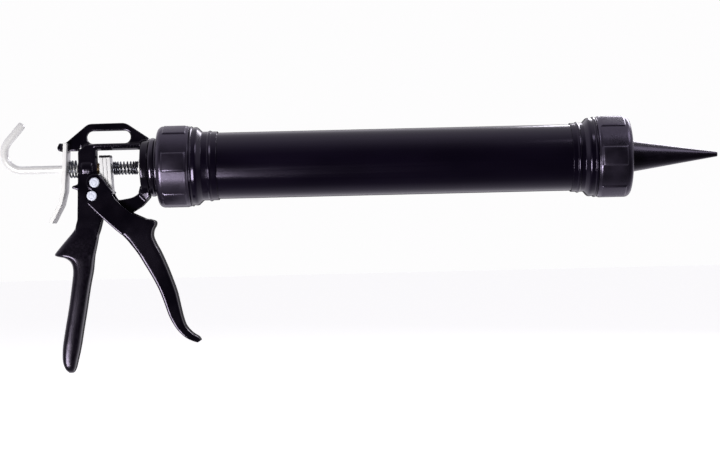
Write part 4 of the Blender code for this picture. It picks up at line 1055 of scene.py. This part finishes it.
# %% Neck and screws
SCREW_COUNT = 3
SCREW_CIRCLE = 12.5 * MM
SCREW_RADIUS = 2.0 * MM
SCREW_HEAD_RADIUS = 3.6 * MM
SCREW_HEAD_HEIGHT = 2.5 * MM
SOCKET_RADIUS = 1.7 * MM
SOCKET_DEPTH = 1.5 * MM
SCREW_HOLE_FIT = 0.3 * MM
ROD_HOLE = 3.6 * MM
RECESS_RADIUS = 18.5 * MM
RECESS_DEPTH = 6.0 * MM
FLANGE_THICKNESS = 3.5 * MM
NECK_ROOT = 22.2 * MM
NECK_FILLET = 0.4 * MM
BEAD_HEIGHT = 1.2 * MM
BEAD_STEPS = 14
BEAD_SPANS = ((0.0, 0.43), (0.43, 0.78))   # shares of the neck's length


def screw_holes(low_x, high_x):
    """Cutters for the screws' holes, on a circle round the rod."""
    angles = [math.pi / 2 + math.tau * i / SCREW_COUNT for i in range(SCREW_COUNT)]
    return [bar(low_x, high_x, SCREW_RADIUS + SCREW_HOLE_FIT, 32,
                (SCREW_CIRCLE * math.cos(a), SCREW_CIRCLE * math.sin(a))) for a in angles]


def make_neck():
    low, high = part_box("barrel_adaptor")
    flange_x = high.x - FLANGE_THICKNESS
    recess_x = high.x - RECESS_DEPTH
    beads = []
    for first, last in BEAD_SPANS:
        start, width = low.x + first * (flange_x - low.x), (last - first) * (flange_x - low.x)
        beads += [(start + width * (1 - math.cos(math.pi * i / BEAD_STEPS)) / 2,
                   NECK_ROOT + BEAD_HEIGHT * math.sin(math.pi * i / BEAD_STEPS))
                  for i in range(BEAD_STEPS + 1)]
    del beads[BEAD_STEPS + 1]   # the second bead starts where the first one ends
    fillet = [(flange_x - NECK_FILLET, NECK_ROOT), (flange_x, NECK_ROOT + NECK_FILLET)]
    flange = rounded([
        (flange_x, high.z, 0.4 * MM), (high.x, high.z, 0.4 * MM), (high.x, RECESS_RADIUS, 0.4 * MM),
        (recess_x, RECESS_RADIUS, 0.6 * MM), (recess_x, ROD_HOLE, 0.3 * MM), (low.x, ROD_HOLE, 0)])
    piece = to_object("fine_neck", turned(beads + fillet + flange, 144))
    carve(piece, gather(screw_holes(low.x - MM, recess_x + MM)))
    finish_piece(piece, NECK_COAT, "frame", ["barrel_adaptor"])


def make_neck_screws():
    low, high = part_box("adaptor_screw_1")
    head_x = high.x - SCREW_HEAD_HEIGHT
    profile = rounded([
        (low.x, 0, 0), (low.x, SCREW_RADIUS, 0.5 * MM), (head_x, SCREW_RADIUS, 0.1 * MM),
        (head_x, SCREW_HEAD_RADIUS, 0.2 * MM), (high.x, SCREW_HEAD_RADIUS, 0.5 * MM),
        (high.x, 0, 0)])
    screw = to_object("neck_screw", turned(profile, 48))
    carve(screw, bar(high.x - SOCKET_DEPTH, high.x + MM, SOCKET_RADIUS, 6))
    shape = moved(lift_off(screw), Matrix.Translation((0, 0, SCREW_CIRCLE)))
    piece = grow("neck_screws", shape, RING, ZINC, {"Count": SCREW_COUNT})
    finish_piece(piece, ZINC, "frame", [f"adaptor_screw_{i + 1}" for i in range(SCREW_COUNT)])


make_neck()
make_neck_screws()

# %% [markdown]
# ## Handle casting
# The handle is one aluminium casting: a hanger plate with a slot, a thicker frame round the
# mechanism's window with a ledge and a lintel along its upper edge, a column that the trigger
# straddles, a web like a wedge where the arch meets the front disc, and the pistol grip. A
# founder blends such shapes with fillets everywhere. The same happens here: each part is a
# closed shell, a voxel remesh melts them into one skin, smoothing rounds the joins, and the
# holes are drilled last so that they stay crisp.
#
# Each flat part is written as corners of (along, up, rounding) in millimetres from the
# casting's front face, which is how a drawing would give them.

# %% Casting shells
CASTING_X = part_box("handle_casting")[1].x
PIVOT = Vector((CASTING_X - 45.6 * MM, 0, -21.8 * MM))
DRIVE_OFFSET = (2.3, 10.5)      # from the pivot, forwards and up, in millimetres
DRIVE_PIN = PIVOT + Vector((DRIVE_OFFSET[0] * MM, 0, DRIVE_OFFSET[1] * MM))
GRIP_POWER = 3.2                # 2 is an ellipse, and more is squarer
LIMB_SIDES = 64


def from_front(corners):
    """Corners in millimetres measured from the casting's front face, moved to their place."""
    return [(CASTING_X + x, *rest) for x, *rest in in_mm(corners)]


def oval(centre, half_length, half_width, steps, power):
    """A section between an ellipse and a rectangle, as squarish as its power says."""
    points = []
    for i in range(steps):
        cosine, sine = math.cos(math.tau * i / steps), math.sin(math.tau * i / steps)
        points.append((centre + half_length * math.copysign(abs(cosine) ** (2 / power), cosine),
                       half_width * math.copysign(abs(sine) ** (2 / power), sine)))
    return points


def smooth_stations(stations, steps=5):
    """Adds stations between the given ones, on smooth curves through them."""
    rows = [Vector(station) for station in stations]
    rows = [2 * rows[0] - rows[1], *rows, 2 * rows[-1] - rows[-2]]
    result = []
    for a, b, c, d in zip(rows, rows[1:], rows[2:], rows[3:]):
        for i in range(steps):
            t = i / steps
            result.append(0.5 * (2 * b + (c - a) * t + (2 * a - 5 * b + 4 * c - d) * t ** 2
                                 + (3 * b - a - 3 * c + d) * t ** 3))
    return [*result, rows[-2]]


def limb(stations, power, start_x=0.0):
    """Skins ovals through stations of (level, back, front, half width) in millimetres."""
    rings = []
    for level, rear, front, half_width in smooth_stations(in_mm(stations)):
        section = oval((rear + front) / 2, (front - rear) / 2, half_width, LIMB_SIDES, power)
        rings.append([(start_x + along, across, level) for along, across in section])
    return loft(rings)


def layer(outline, half, edge, holes=()):
    """A flat shell that stands along the gun. Half its thickness and its edge are in mm."""
    return plate(rounded(from_front(outline)), holes, half * MM, edge * MM)


def drum(rear, front, radius, rear_edge, front_edge, steps):
    """A solid drum on the rod's axis, in millimetres from the casting's front face."""
    return turned(rounded(from_front([
        (rear, 0, 0), (rear, radius, rear_edge),
        (front, radius, front_edge), (front, 0, 0)])), steps)


HANGER = [(-72.8, 14.6, 0.5), (-73.2, 16.9, 1), (-71.2, 20.7, 1.5), (-67.4, 20.8, 5),
          (-48.7, 35.9, 8), (-18.9, 36.1, 9), (-0.1, 23.2, 2), (-0.1, 12.0, 0), (-20, 17.4, 0),
          (-56, 17.4, 0), (-57, 14.2, 2)]
SLOT = [(-50.0, 19.9, 5), (-50.0, 29.9, 5), (-15.0, 29.9, 5), (-15.0, 19.9, 5)]
FRAME = [(-57.3, 13.6, 3), (-50.4, 19.7, 4), (-7.8, 19.9, 4), (-0.1, 23.2, 1), (-0.1, -24.3, 2),
         (-6.3, -30.8, 8), (-14.2, -35.6, 9), (-20.3, -37.7, 9), (-32.0, -40.2, 6),
         (-42.0, -40.0, 3), (-50.0, -35.0, 3), (-54.0, -8.0, 3), (-57.0, -5.0, 2)]
WINDOW = [(-42.3, 17.2, 1.0), (-6.4, 17.2, 1.5), (-6.6, -2.0, 20), (-6.0, -17.4, 7),
          (-13.0, -23.6, 14), (-24.0, -25.4, 14), (-40.3, -25.4, 0), (-40.5, -19.5, 3),
          (-45.0, -16.4, 3), (-49.0, -15.6, 0.5), (-49.0, -3.8, 0.8), (-42.3, -3.8, 0.5)]
COLUMN = [(-57.2, -3.9, 0.5), (-57.4, -12.3, 0.8), (-62.0, -13.7, 0.9), (-62.2, -15.5, 0.7),
          (-57.6, -16.9, 0.8), (-58.4, -40.4, 3), (-60.0, -46.0, 3), (-60.0, -54.0, 0),
          (-43.0, -54.0, 0), (-41.1, -48.7, 3), (-39.2, -41.6, 4), (-39.3, -30.0, 2),
          (-39.3, -21.8, 3), (-40.5, -16.9, 4), (-44.5, -15.4, 3), (-48.0, -15.5, 0.5),
          (-48.0, -3.9, 0.8)]
LUG = [(-71.9, 14.2, 1), (-73.0, 16.9, 1), (-71.2, 20.7, 1.2), (-69.3, 20.7, 0.6),
       (-69.3, 14.3, 0.6)]
WINDOW_LEDGE = [(-57.0, 14.2, 3), (-51.2, 19.3, 3), (-7.8, 19.6, 4), (-1.0, 21.0, 1),
                (-1.0, 17.4, 0.3), (-42.6, 17.4, 0.3), (-42.6, -5.0, 0.5), (-57.0, -5.0, 0.5)]
LINTEL = [(-4.5, 19.8), (-6.4, 18.2), (-6.4, 17.4), (-4.0, 15.6), (0.0, 14.2), (4.0, 15.6),
          (6.4, 17.4), (6.4, 18.2), (4.5, 19.8)]
LINTEL_SPAN = (-43.6, -5.0)
WEDGE = [(-9.3, -20.3), (-7.6, -15.0), (-0.8, -12.8), (-0.5, -23.9), (-3.5, -26.4)]
WEDGE_MIDDLE = (-3.5, -18.5)
WEDGE_HALF = 9.2                # half its thickness at its middle
WEDGE_RAMP = (0.24, 0.25)       # how fast it thickens forwards and upwards
GRIP = [                        # level, back, front and half width, from the top down
    (-42.0, -58.4, -39.2, 6.0), (-46.0, -60.4, -40.5, 6.6),
    (-50.0, -62.6, -41.6, 7.6), (-58.0, -69.5, -43.2, 9.2),
    (-66.0, -76.3, -45.0, 10.2), (-68.4, -77.6, -45.6, 10.4),
    (-69.6, -75.6, -45.8, 10.5), (-71.2, -69.2, -46.1, 10.6),
    (-75.0, -64.5, -46.6, 10.7), (-82.0, -63.1, -47.5, 10.8),
    (-94.4, -64.6, -50.1, 10.8), (-111.7, -67.3, -53.1, 10.8),
    (-128.0, -70.4, -56.1, 10.7), (-142.0, -72.7, -58.6, 10.4),
    (-153.0, -73.0, -61.2, 9.7), (-159.5, -71.0, -62.9, 7.8), (-162.6, -68.4, -64.6, 3.6)]


def lintel():
    """The window's upper edge, whose walls draw outwards as a pattern needs."""
    return loft([[(CASTING_X + x * MM, y * MM, z * MM) for y, z in LINTEL] for x in LINTEL_SPAN])


def wedge():
    """The web between the front plate and the arch, with a flat side that leans outwards."""
    rings = []
    for side in (-1, 1):
        ring = []
        for x, z in WEDGE:
            half = (WEDGE_HALF + WEDGE_RAMP[0] * (x - WEDGE_MIDDLE[0])
                    + WEDGE_RAMP[1] * (z - WEDGE_MIDDLE[1]))
            ring.append((CASTING_X + x * MM, side * half * MM, z * MM))
        rings.append(ring)
    return loft(rings)


front_disc = drum(-6.3, 0, 22, 0.9, 0.8, 128)
rod_boss = drum(-57.4, -41.9, 5.9, 0.6, 0.6, 96)
rod_boss_bulge = drum(-54.6, -45.2, 8.0, 1.6, 1.6, 96)
shells = [
    layer(HANGER, 2.7, 0.9, [rounded(from_front(SLOT), 12)]),
    layer(FRAME, 4.4, 1.2, [rounded(from_front(WINDOW))]),
    layer(WINDOW_LEDGE, 5.9, 1.6), lintel(), layer(COLUMN, 7.05, 0.8), layer(LUG, 8.5, 0.8),
    wedge(), front_disc, rod_boss, rod_boss_bulge, limb(GRIP, GRIP_POWER, CASTING_X)]
print("casting shells:", len(shells))

# %% [markdown]
# The voxels are a bit over half a millimetre: small enough for the slot's edge, large enough
# to keep the mesh light. Smoothing then takes the stair steps away and leaves cast fillets.

# %% Melt, smooth and drill the casting
CASTING_VOXEL = 0.58 * MM
SMOOTH_SHARE = 0.5
PIVOT_HOLE = 3.3 * MM
DRIVE_HOLE = 2.9 * MM
BUSH_HOLE = 4.7 * MM
DRILL_REACH = 20 * MM           # further than any piece is wide


def melt(piece, voxel, rounds):
    """Fuses overlapping closed shells into one smooth skin."""
    remesh = piece.modifiers.new("melt", "REMESH")
    remesh.mode = "VOXEL"
    remesh.voxel_size = voxel
    smooth = piece.modifiers.new("soften", "SMOOTH")
    smooth.factor = SMOOTH_SHARE
    smooth.iterations = rounds
    return bake_modifiers(piece)


casting = to_object("fine_casting", gather(shells))
melt(casting, CASTING_VOXEL, 5)
carve(casting, gather([
    bar(CASTING_X - 58.5 * MM, CASTING_X - 41.0 * MM, BUSH_HOLE),
    bar(CASTING_X - 15.0 * MM, CASTING_X + MM, ROD_HOLE),
    cross_bar(PIVOT, PIVOT_HOLE, DRILL_REACH),
    *screw_holes(CASTING_X - 5.3 * MM, CASTING_X + MM)]))
finish_piece(casting, HANDLE_COAT, "frame", ["handle_casting"], angle=50)

# %% [markdown]
# ## Trigger
# The trigger is cast in the same way: two flat ears that straddle the column and a squarish
# lever for the fingers. It is modelled upright round its pivot and then leaned to its place,
# so that every number in its outline is one that a ruler on the loose part would give.

# %% Trigger
TRIGGER_LEAN = math.radians(35)
TRIGGER_VOXEL = 0.52 * MM
LEVER_POWER = 9.0
EAR_TOP_RADIUS = 7              # round the drive pin, in millimetres
EAR_INNER = 7.35 * MM
EAR_OUTER = 10.3 * MM
EAR_EDGE = 0.6 * MM
EAR_FRONT = [(26.2, -45.2, 2), (22.2, -38.2, 6), (17.2, -29.5, 6), (14.5, -21.1, 6),
             (13.2, -12.5, 6), (13.9, -4.0, 5)]
EAR_REAR = [(-7.0, 0.0, 6), (-6.9, -4.0, 5), (-5.5, -12.2, 6), (-3.9, -20.2, 6),
            (-1.3, -32.3, 6), (2.1, -45.2, 2)]
LEVER = [                       # level, back, front and half width, from the top down
    (-39.0, 0.4, 22.8, 10.2), (-44.7, 1.2, 27.8, 10.4), (-47.9, 1.4, 26.8, 10.5),
    (-50.0, 1.5, 22.8, 10.5), (-53.8, 1.7, 19.3, 10.5), (-60.0, 1.7, 17.7, 10.5),
    (-68.2, 1.0, 16.6, 10.3), (-80.4, -0.1, 14.0, 10.1), (-91.0, -1.7, 11.2, 9.9),
    (-101.3, -4.3, 8.1, 9.7), (-112.9, -7.7, 3.2, 9.5), (-120.8, -8.8, 0.0, 9.2),
    (-127.6, -8.8, -1.8, 8.8), (-134.8, -7.3, -1.0, 8.2), (-140.2, -4.6, 1.2, 7.2),
    (-143.7, -2.2, 1.4, 5.0)]


def ear_outline():
    """The ear as seen from the side, upright round the pivot, with a round top over the pin."""
    sine, cosine = math.sin(TRIGGER_LEAN), math.cos(TRIGGER_LEAN)
    along, up = DRIVE_OFFSET
    pin_x, pin_z = along * cosine + up * sine, up * cosine - along * sine
    top = [(pin_x + EAR_TOP_RADIUS * math.cos(a), pin_z + EAR_TOP_RADIUS * math.sin(a))
           for a in (math.radians(20 + 190 * i / 24) for i in range(25))]
    return rounded(in_mm(EAR_FRONT)) + in_mm(top) + rounded(in_mm(EAR_REAR))


def make_trigger():
    outline = ear_outline()
    half = (EAR_OUTER - EAR_INNER) / 2
    middle = (EAR_OUTER + EAR_INNER) / 2
    ears = [plate(outline, [], half, EAR_EDGE, side * middle) for side in (-1, 1)]
    piece = to_object("fine_trigger", gather([*ears, limb(LEVER, LEVER_POWER)]))
    melt(piece, TRIGGER_VOXEL, 4)
    piece.data.transform(Matrix.Translation(PIVOT) @ Matrix.Rotation(-TRIGGER_LEAN, 4, "Y"))
    carve(piece, gather([cross_bar(PIVOT, PIVOT_HOLE, DRILL_REACH),
                         cross_bar(DRIVE_PIN, DRIVE_HOLE, DRILL_REACH)]))
    finish_piece(piece, COAT, "trigger_set", ["trigger"], angle=50)


make_trigger()

# %% [markdown]
# ## Rivets, washers and roller
# The trigger turns on a headed rivet, and a second rivet with a sleeve pushes the plates.
# Their heads are formed in a die that leaves a ring on the face, and their far ends are
# peened over a washer. All are spun round their own axis and then laid across the gun.
# Their corners are (across the gun, radius, rounding) in millimetres.

# %% Rivets, washers and roller
RIVET_HEAD = [(-12.15, 0, 0), (-12.15, 1.6, 0.1), (-12.0, 1.75, 0.1), (-12.0, 2.0, 0.1),
              (-12.15, 2.15, 0.1), (-12.15, 3.5, 0.4), (-11.6, 4.0, 0.4), (-10.6, 4.0, 0.2)]
ROLLER = [(-6.7, 2.9, 0.2), (-6.7, 4.0, 0.5), (6.7, 4.0, 0.5), (6.7, 2.9, 0.2)]


def rivet_tail(shank):
    """The plain shank and the peened far end of a rivet."""
    return [(-10.6, shank, 0.1), (12.3, shank, 0), (12.9, 0.85 * shank, 0.5),
            (13.1, 0.4 * shank, 0.5), (13.1, 0, 0)]


def washer(bore):
    return [(10.6, bore, 0.1), (10.6, 4.6, 0.1), (11.6, 4.6, 0.35), (11.6, bore, 0.15)]


def make_cross_piece(name, node, centre, corners, material, body):
    """Spins the corners round a line along Y through this centre."""
    shape = turned(in_mm(rounded(corners)), 64)
    laid = Matrix.Translation(centre) @ Matrix.Rotation(math.pi / 2, 4, "Z")
    finish_piece(to_object(name, moved(shape, laid)), material, body, [node])


for name, node, centre, corners, material, body in (
        ("pivot_rivet", "pivot_pin", PIVOT, RIVET_HEAD + rivet_tail(3.0), RIVET_ZINC, "frame"),
        ("drive_rivet", "drive_pin", DRIVE_PIN, RIVET_HEAD + rivet_tail(2.6), RIVET_ZINC,
         "trigger_set"),
        ("pivot_rivet_washer", "pivot_washer", PIVOT, washer(3.3), ZINC, "frame"),
        ("drive_rivet_washer", "drive_washer", DRIVE_PIN, washer(2.9), ZINC, "trigger_set"),
        ("plate_roller", "drive_roller", DRIVE_PIN, ROLLER, ZINC, "trigger_set")):
    make_cross_piece(name, node, centre, corners, material, body)

# %% [markdown]
# ## Drive plates
# Three hardened plates lean on the rod. When the roller tips them, the edges of their holes
# bite and carry the rod forward. One blanked plate is modelled with its square corners eased
# and its clearance hole, and the row tree stacks three of them along the rod.

# %% Drive plates
PLATE_COUNT = 3
PLATE_LEAN = math.radians(2.7)
PLATE_THICKNESS = 2.7 * MM
PLATE_SPACE = 0.3 * MM
PLATE_TOP = 10.3 * MM
PLATE_HEIGHT = 31.0 * MM
PLATE_CORNER = 1.5 * MM
PLATE_EDGE = 0.25 * MM
PLATE_HOLE = 3.7 * MM
PLATE_SETBACK = 39.5 * MM       # behind the casting's front face


def make_plates():
    half_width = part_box("drive_plate_1")[1].y
    top, foot = PLATE_TOP, PLATE_TOP - PLATE_HEIGHT
    outline = rounded([(y, z, PLATE_CORNER) for y, z in (
        (half_width, top), (-half_width, top), (-half_width, foot), (half_width, foot))])
    stand = (Matrix.Translation((PLATE_THICKNESS / 2, 0, 0))
             @ Matrix.Rotation(math.pi / 2, 4, "Z"))
    blank = moved(plate(outline, [], PLATE_THICKNESS / 2, PLATE_EDGE), stand)
    single = to_object("single_plate", blank)
    carve(single, bar(-PLATE_THICKNESS, 2 * PLATE_THICKNESS, PLATE_HOLE))
    single.data.transform(Matrix.Translation((CASTING_X - PLATE_SETBACK, 0, 0))
                          @ Matrix.Rotation(-PLATE_LEAN, 4, "Y"))
    step = (PLATE_THICKNESS + PLATE_SPACE) / math.cos(PLATE_LEAN)
    piece = grow("plate_stack_fine", lift_off(single), ROW, PLATE_ZINC, {
        "Count": PLATE_COUNT, "Step": (step, 0.0, 0.0)})
    nodes = [f"drive_plate_{i + 1}" for i in range(PLATE_COUNT)]
    finish_piece(piece, PLATE_ZINC, "plate_stack", nodes)


make_plates()

# %% [markdown]
# ## Springs
# A long spring in front of the plates pushes them back after each squeeze, and a short one
# behind the column tilts the catch plate. Both are coils whose end turns are wound closer.

# %% Springs
WIRE_RADIUS = 0.66 * MM
WIRE_SIDES = 14
COIL_STEPS = 40                 # per turn
COIL_CLOSING = 0.35             # how much closer the end turns are wound


def make_spring(name, node, turns):
    """A coil spring that fills its plain solid along the rod."""
    low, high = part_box(node)
    anchor_x = high.x
    length = anchor_x - low.x - 2 * WIRE_RADIUS
    piece = grow(name, bmesh.new(), COIL, WIRE, {
        "Start": low.x + WIRE_RADIUS, "Length": length, "Radius": high.z - WIRE_RADIUS,
        "Turns": turns, "Phase": 0.0, "Closing": COIL_CLOSING,
        "Steps": round(turns * COIL_STEPS) + 1, "Wire": WIRE_RADIUS, "Wire Sides": WIRE_SIDES})
    finish_piece(piece, WIRE, "frame", [node], angle=60)
    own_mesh(piece)


make_spring("plate_spring", "drive_spring", turns=9.5)
make_spring("thumb_catch_spring", "catch_spring", turns=3.0)
spring_seat = flat_ring("spring_seat", "spring_washer", ROD_HOLE, 0.1 * MM, 0.3 * MM, 64)
finish_piece(spring_seat, ZINC, "frame", ["spring_washer"])

# %% [markdown]
# ## Rod bush
# A sintered bronze bush guides the rod through the column. Like a thick washer, it is spun
# from a profile with its edges broken.

# %% Rod bush
bush = flat_ring("bronze_bush", "rod_bush", ROD_HOLE, 0.2 * MM, 0.25 * MM, 64)
finish_piece(bush, SHADE_DARKENED_BRONZE, "frame", ["rod_bush"])

# %% [markdown]
# ## Catch plate
# The catch hangs on the lug behind the casting. It is one strip of plated steel, forked at
# the top, pierced for the rod and bent back at the bottom into a lever for the thumb. Its
# side outline follows a path with two soft bends, and the plate helper gives it its width.

# %% Catch plate
CATCH_THICKNESS = 3.0 * MM
CATCH_HALF_WIDTH = 10.0 * MM
CATCH_EDGE = 0.4 * MM
CATCH_CORNER = 0.5 * MM
CATCH_PATH = [(-66.2, 20.7, 0), (-68.4, -17.0, 9), (-71.2, -28.0, 12), (-79.0, -42.5, 0)]
FORK_CUT = [(-90, 13.3, 0), (-50, 13.3, 0), (-50, 40, 0), (-90, 40, 0)]
CATCH_HOLE = 3.9 * MM
CATCH_HOLE_X = CASTING_X - 67.4 * MM


def make_catch():
    points = [Vector(point) for point in rounded(from_front(CATCH_PATH), 8)]
    last = len(points) - 1
    front, rear = [], []
    for i, point in enumerate(points):
        along = (points[min(i + 1, last)] - points[max(i - 1, 0)]).normalized()
        side = Vector((-along.y, along.x)) * CATCH_THICKNESS / 2
        radius = CATCH_CORNER if i in (0, last) else 0
        front.append((*(point + side), radius))
        rear.append((*(point - side), radius))
    piece = to_object("thumb_catch", plate(
        rounded(front + rear[::-1]), [], CATCH_HALF_WIDTH, CATCH_EDGE))
    hole = bar(CATCH_HOLE_X - 9 * MM, CATCH_HOLE_X + 9 * MM, CATCH_HOLE)
    carve(piece, gather([layer(FORK_CUT, 4.8, 0.01), hole]))
    finish_piece(piece, ZINC, "catch", ["catch_plate"])


make_catch()

# %% [markdown]
# ## Plunger rod
# The plunger is one long bright rod. Its rear end is curled into a pull hook, and its front
# end is thinned and threaded for the piston's nuts. The hook is a path with a sweep along it,
# and the path's last few points thin the rod, so the hook ends in a dome. The thread's crest
# winds round the rod, so its radius is a function of both place and angle.

# %% Rod with its hook and thread
ROD_RADIUS = 3.2 * MM
ROD_SIDES = 40
HOOK_RADIUS = 14.0 * MM
HOOK_TURN = math.radians(131)
HOOK_END = 18.0 * MM
BEND_X = CASTING_X - 102.5 * MM
HOOK_STEPS = 28
# How far from the hook's end in millimetres, and the share of the radius that is left there.
HOOK_DOME = [(0.8, 1.0), (0.5, 0.96), (0.25, 0.86), (0.08, 0.72), (0.0, 0.60)]
END_THINNING = 0.4 * MM
END_PITCH = 1.0 * MM
END_DEPTH = 0.3 * MM
END_STEEPNESS = 2.4             # 2 is a plain V groove, and more gives it a flat floor
END_FADE = 0.8 * MM             # the tip narrows over this length
END_TAPER = (0.82, 0.18)        # share of the radius at the tip, and what it gains over the fade
thread_back_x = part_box("piston_back_nut")[0].x - 0.3 * MM
rod_tip_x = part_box("plunger_rod")[1].x


def hook_path():
    """Points of the rod's middle line with the share of the radius that each one keeps."""
    rows = [((thread_back_x - 0.3 * MM, 0, 0), 1.0), ((BEND_X, 0, 0), 1.0)]
    for i in range(1, HOOK_STEPS + 1):
        turn = HOOK_TURN * i / HOOK_STEPS
        place = (BEND_X - HOOK_RADIUS * math.sin(turn), 0, HOOK_RADIUS * (1 - math.cos(turn)))
        rows.append((place, 1.0))
    end = Vector(rows[-1][0])
    along = Vector((-math.cos(HOOK_TURN), 0, math.sin(HOOK_TURN)))
    rows += [(tuple(end + along * (HOOK_END - left * MM)), share) for left, share in HOOK_DOME]
    return rows


def path_shape(rows):
    """A chain of edges whose points carry their share of the rod's radius."""
    shape = bmesh.new()
    share_layer = shape.verts.layers.float.new("share")
    verts = []
    for place, share in rows:
        vert = shape.verts.new(place)
        vert[share_layer] = share
        verts.append(vert)
    for first, second in zip(verts, verts[1:]):
        shape.edges.new((first, second))
    return shape


def threaded_end(low_x, high_x, radius, sides=32, steps_per_turn=8):
    """A threaded bar along X. Its radius falls and rises once in every pitch."""
    count = round((high_x - low_x) / END_PITCH * steps_per_turn)
    rings = []
    for i in range(count + 1):
        x = low_x + (high_x - low_x) * i / count
        ring = []
        for j in range(sides):
            angle = math.tau * j / sides
            phase = (x / END_PITCH - j / sides) % 1
            depth = END_DEPTH * min(1, END_STEEPNESS * abs(phase - 0.5))
            fade = min(1, (high_x - x) / END_FADE)
            reach = (radius - depth) * (END_TAPER[0] + END_TAPER[1] * fade)
            ring.append((x, reach * math.cos(angle), reach * math.sin(angle)))
        rings.append(ring)
    return loft(rings)


rod = grow("pull_rod", path_shape(hook_path()), SWEEP, ROD_ZINC, {
    "Radius": ROD_RADIUS, "Sides": ROD_SIDES})
carve(rod, threaded_end(thread_back_x - 1.5 * MM, rod_tip_x, ROD_RADIUS - END_THINNING), "UNION")
finish_piece(rod, ROD_ZINC, "plunger", ["plunger_rod"], angle=50)

# %% [markdown]
# ## Piston and its hardware
# Inside the barrel the rod carries a plastic cup with two wiping lips, clamped between two
# washers by two nuts. Only someone who takes the gun apart sees them, and they get the same
# care: spun profiles, and nuts with chamfered corners cut from a hexagon bar.

# %% Piston, washers and nuts
PISTON_WALL = 2.4 * MM
PISTON_FLOOR = 6.0 * MM
LIP_HEIGHT = 1.4 * MM
CLAMP_BORE = 3.1 * MM
NUT_CHAMFER = 0.5 * MM
NUT_FACE = 0.86                 # the face's radius, as a share of the corners'


def make_piston():
    low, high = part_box("piston")
    outer = high.z
    skirt = outer - LIP_HEIGHT
    lip = (high.x - low.x) / 5
    floor_x = high.x - PISTON_FLOOR
    profile = rounded([
        (high.x, CLAMP_BORE, 0.3 * MM), (high.x, outer - 2 * LIP_HEIGHT, 1.0 * MM),
        (high.x - lip / 3, outer, 0.5 * MM), (high.x - lip, outer, 0.2 * MM),
        (high.x - lip, skirt, 0.5 * MM), (low.x + lip, skirt, 0.5 * MM),
        (low.x + lip, outer, 0.2 * MM), (low.x, outer, 0.5 * MM),
        (low.x, outer - PISTON_WALL, 0.5 * MM), (floor_x, skirt - PISTON_WALL, 1.5 * MM),
        (floor_x, CLAMP_BORE, 0.3 * MM)])
    piece = to_object("wiping_piston", turned(profile, 128))
    finish_piece(piece, PLASTIC, "plunger", ["piston"])


def make_nut(name, node):
    low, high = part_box(node)
    radius = high.y
    piece = to_object(name, bar(low.x, high.x, radius, 6))
    crown = turned(rounded([
        (low.x, 0, 0), (low.x, NUT_FACE * radius, 0), (low.x + NUT_CHAMFER, radius, 0),
        (high.x - NUT_CHAMFER, radius, 0), (high.x, NUT_FACE * radius, 0), (high.x, 0, 0)]), 96)
    carve(piece, crown, "INTERSECT")
    carve(piece, bar(low.x - MM, high.x + MM, CLAMP_BORE))
    finish_piece(piece, ZINC, "plunger", [node], angle=25)


make_piston()
for end in ("front", "back"):
    node = f"piston_{end}_washer"
    disc = flat_ring(f"{end}_clamp_disc", node, CLAMP_BORE, 0.1 * MM, 0.3 * MM, 96)
    finish_piece(disc, ZINC, "plunger", [node])
for end in ("front", "back"):
    make_nut(f"{end}_clamp_nut", f"piston_{end}_nut")
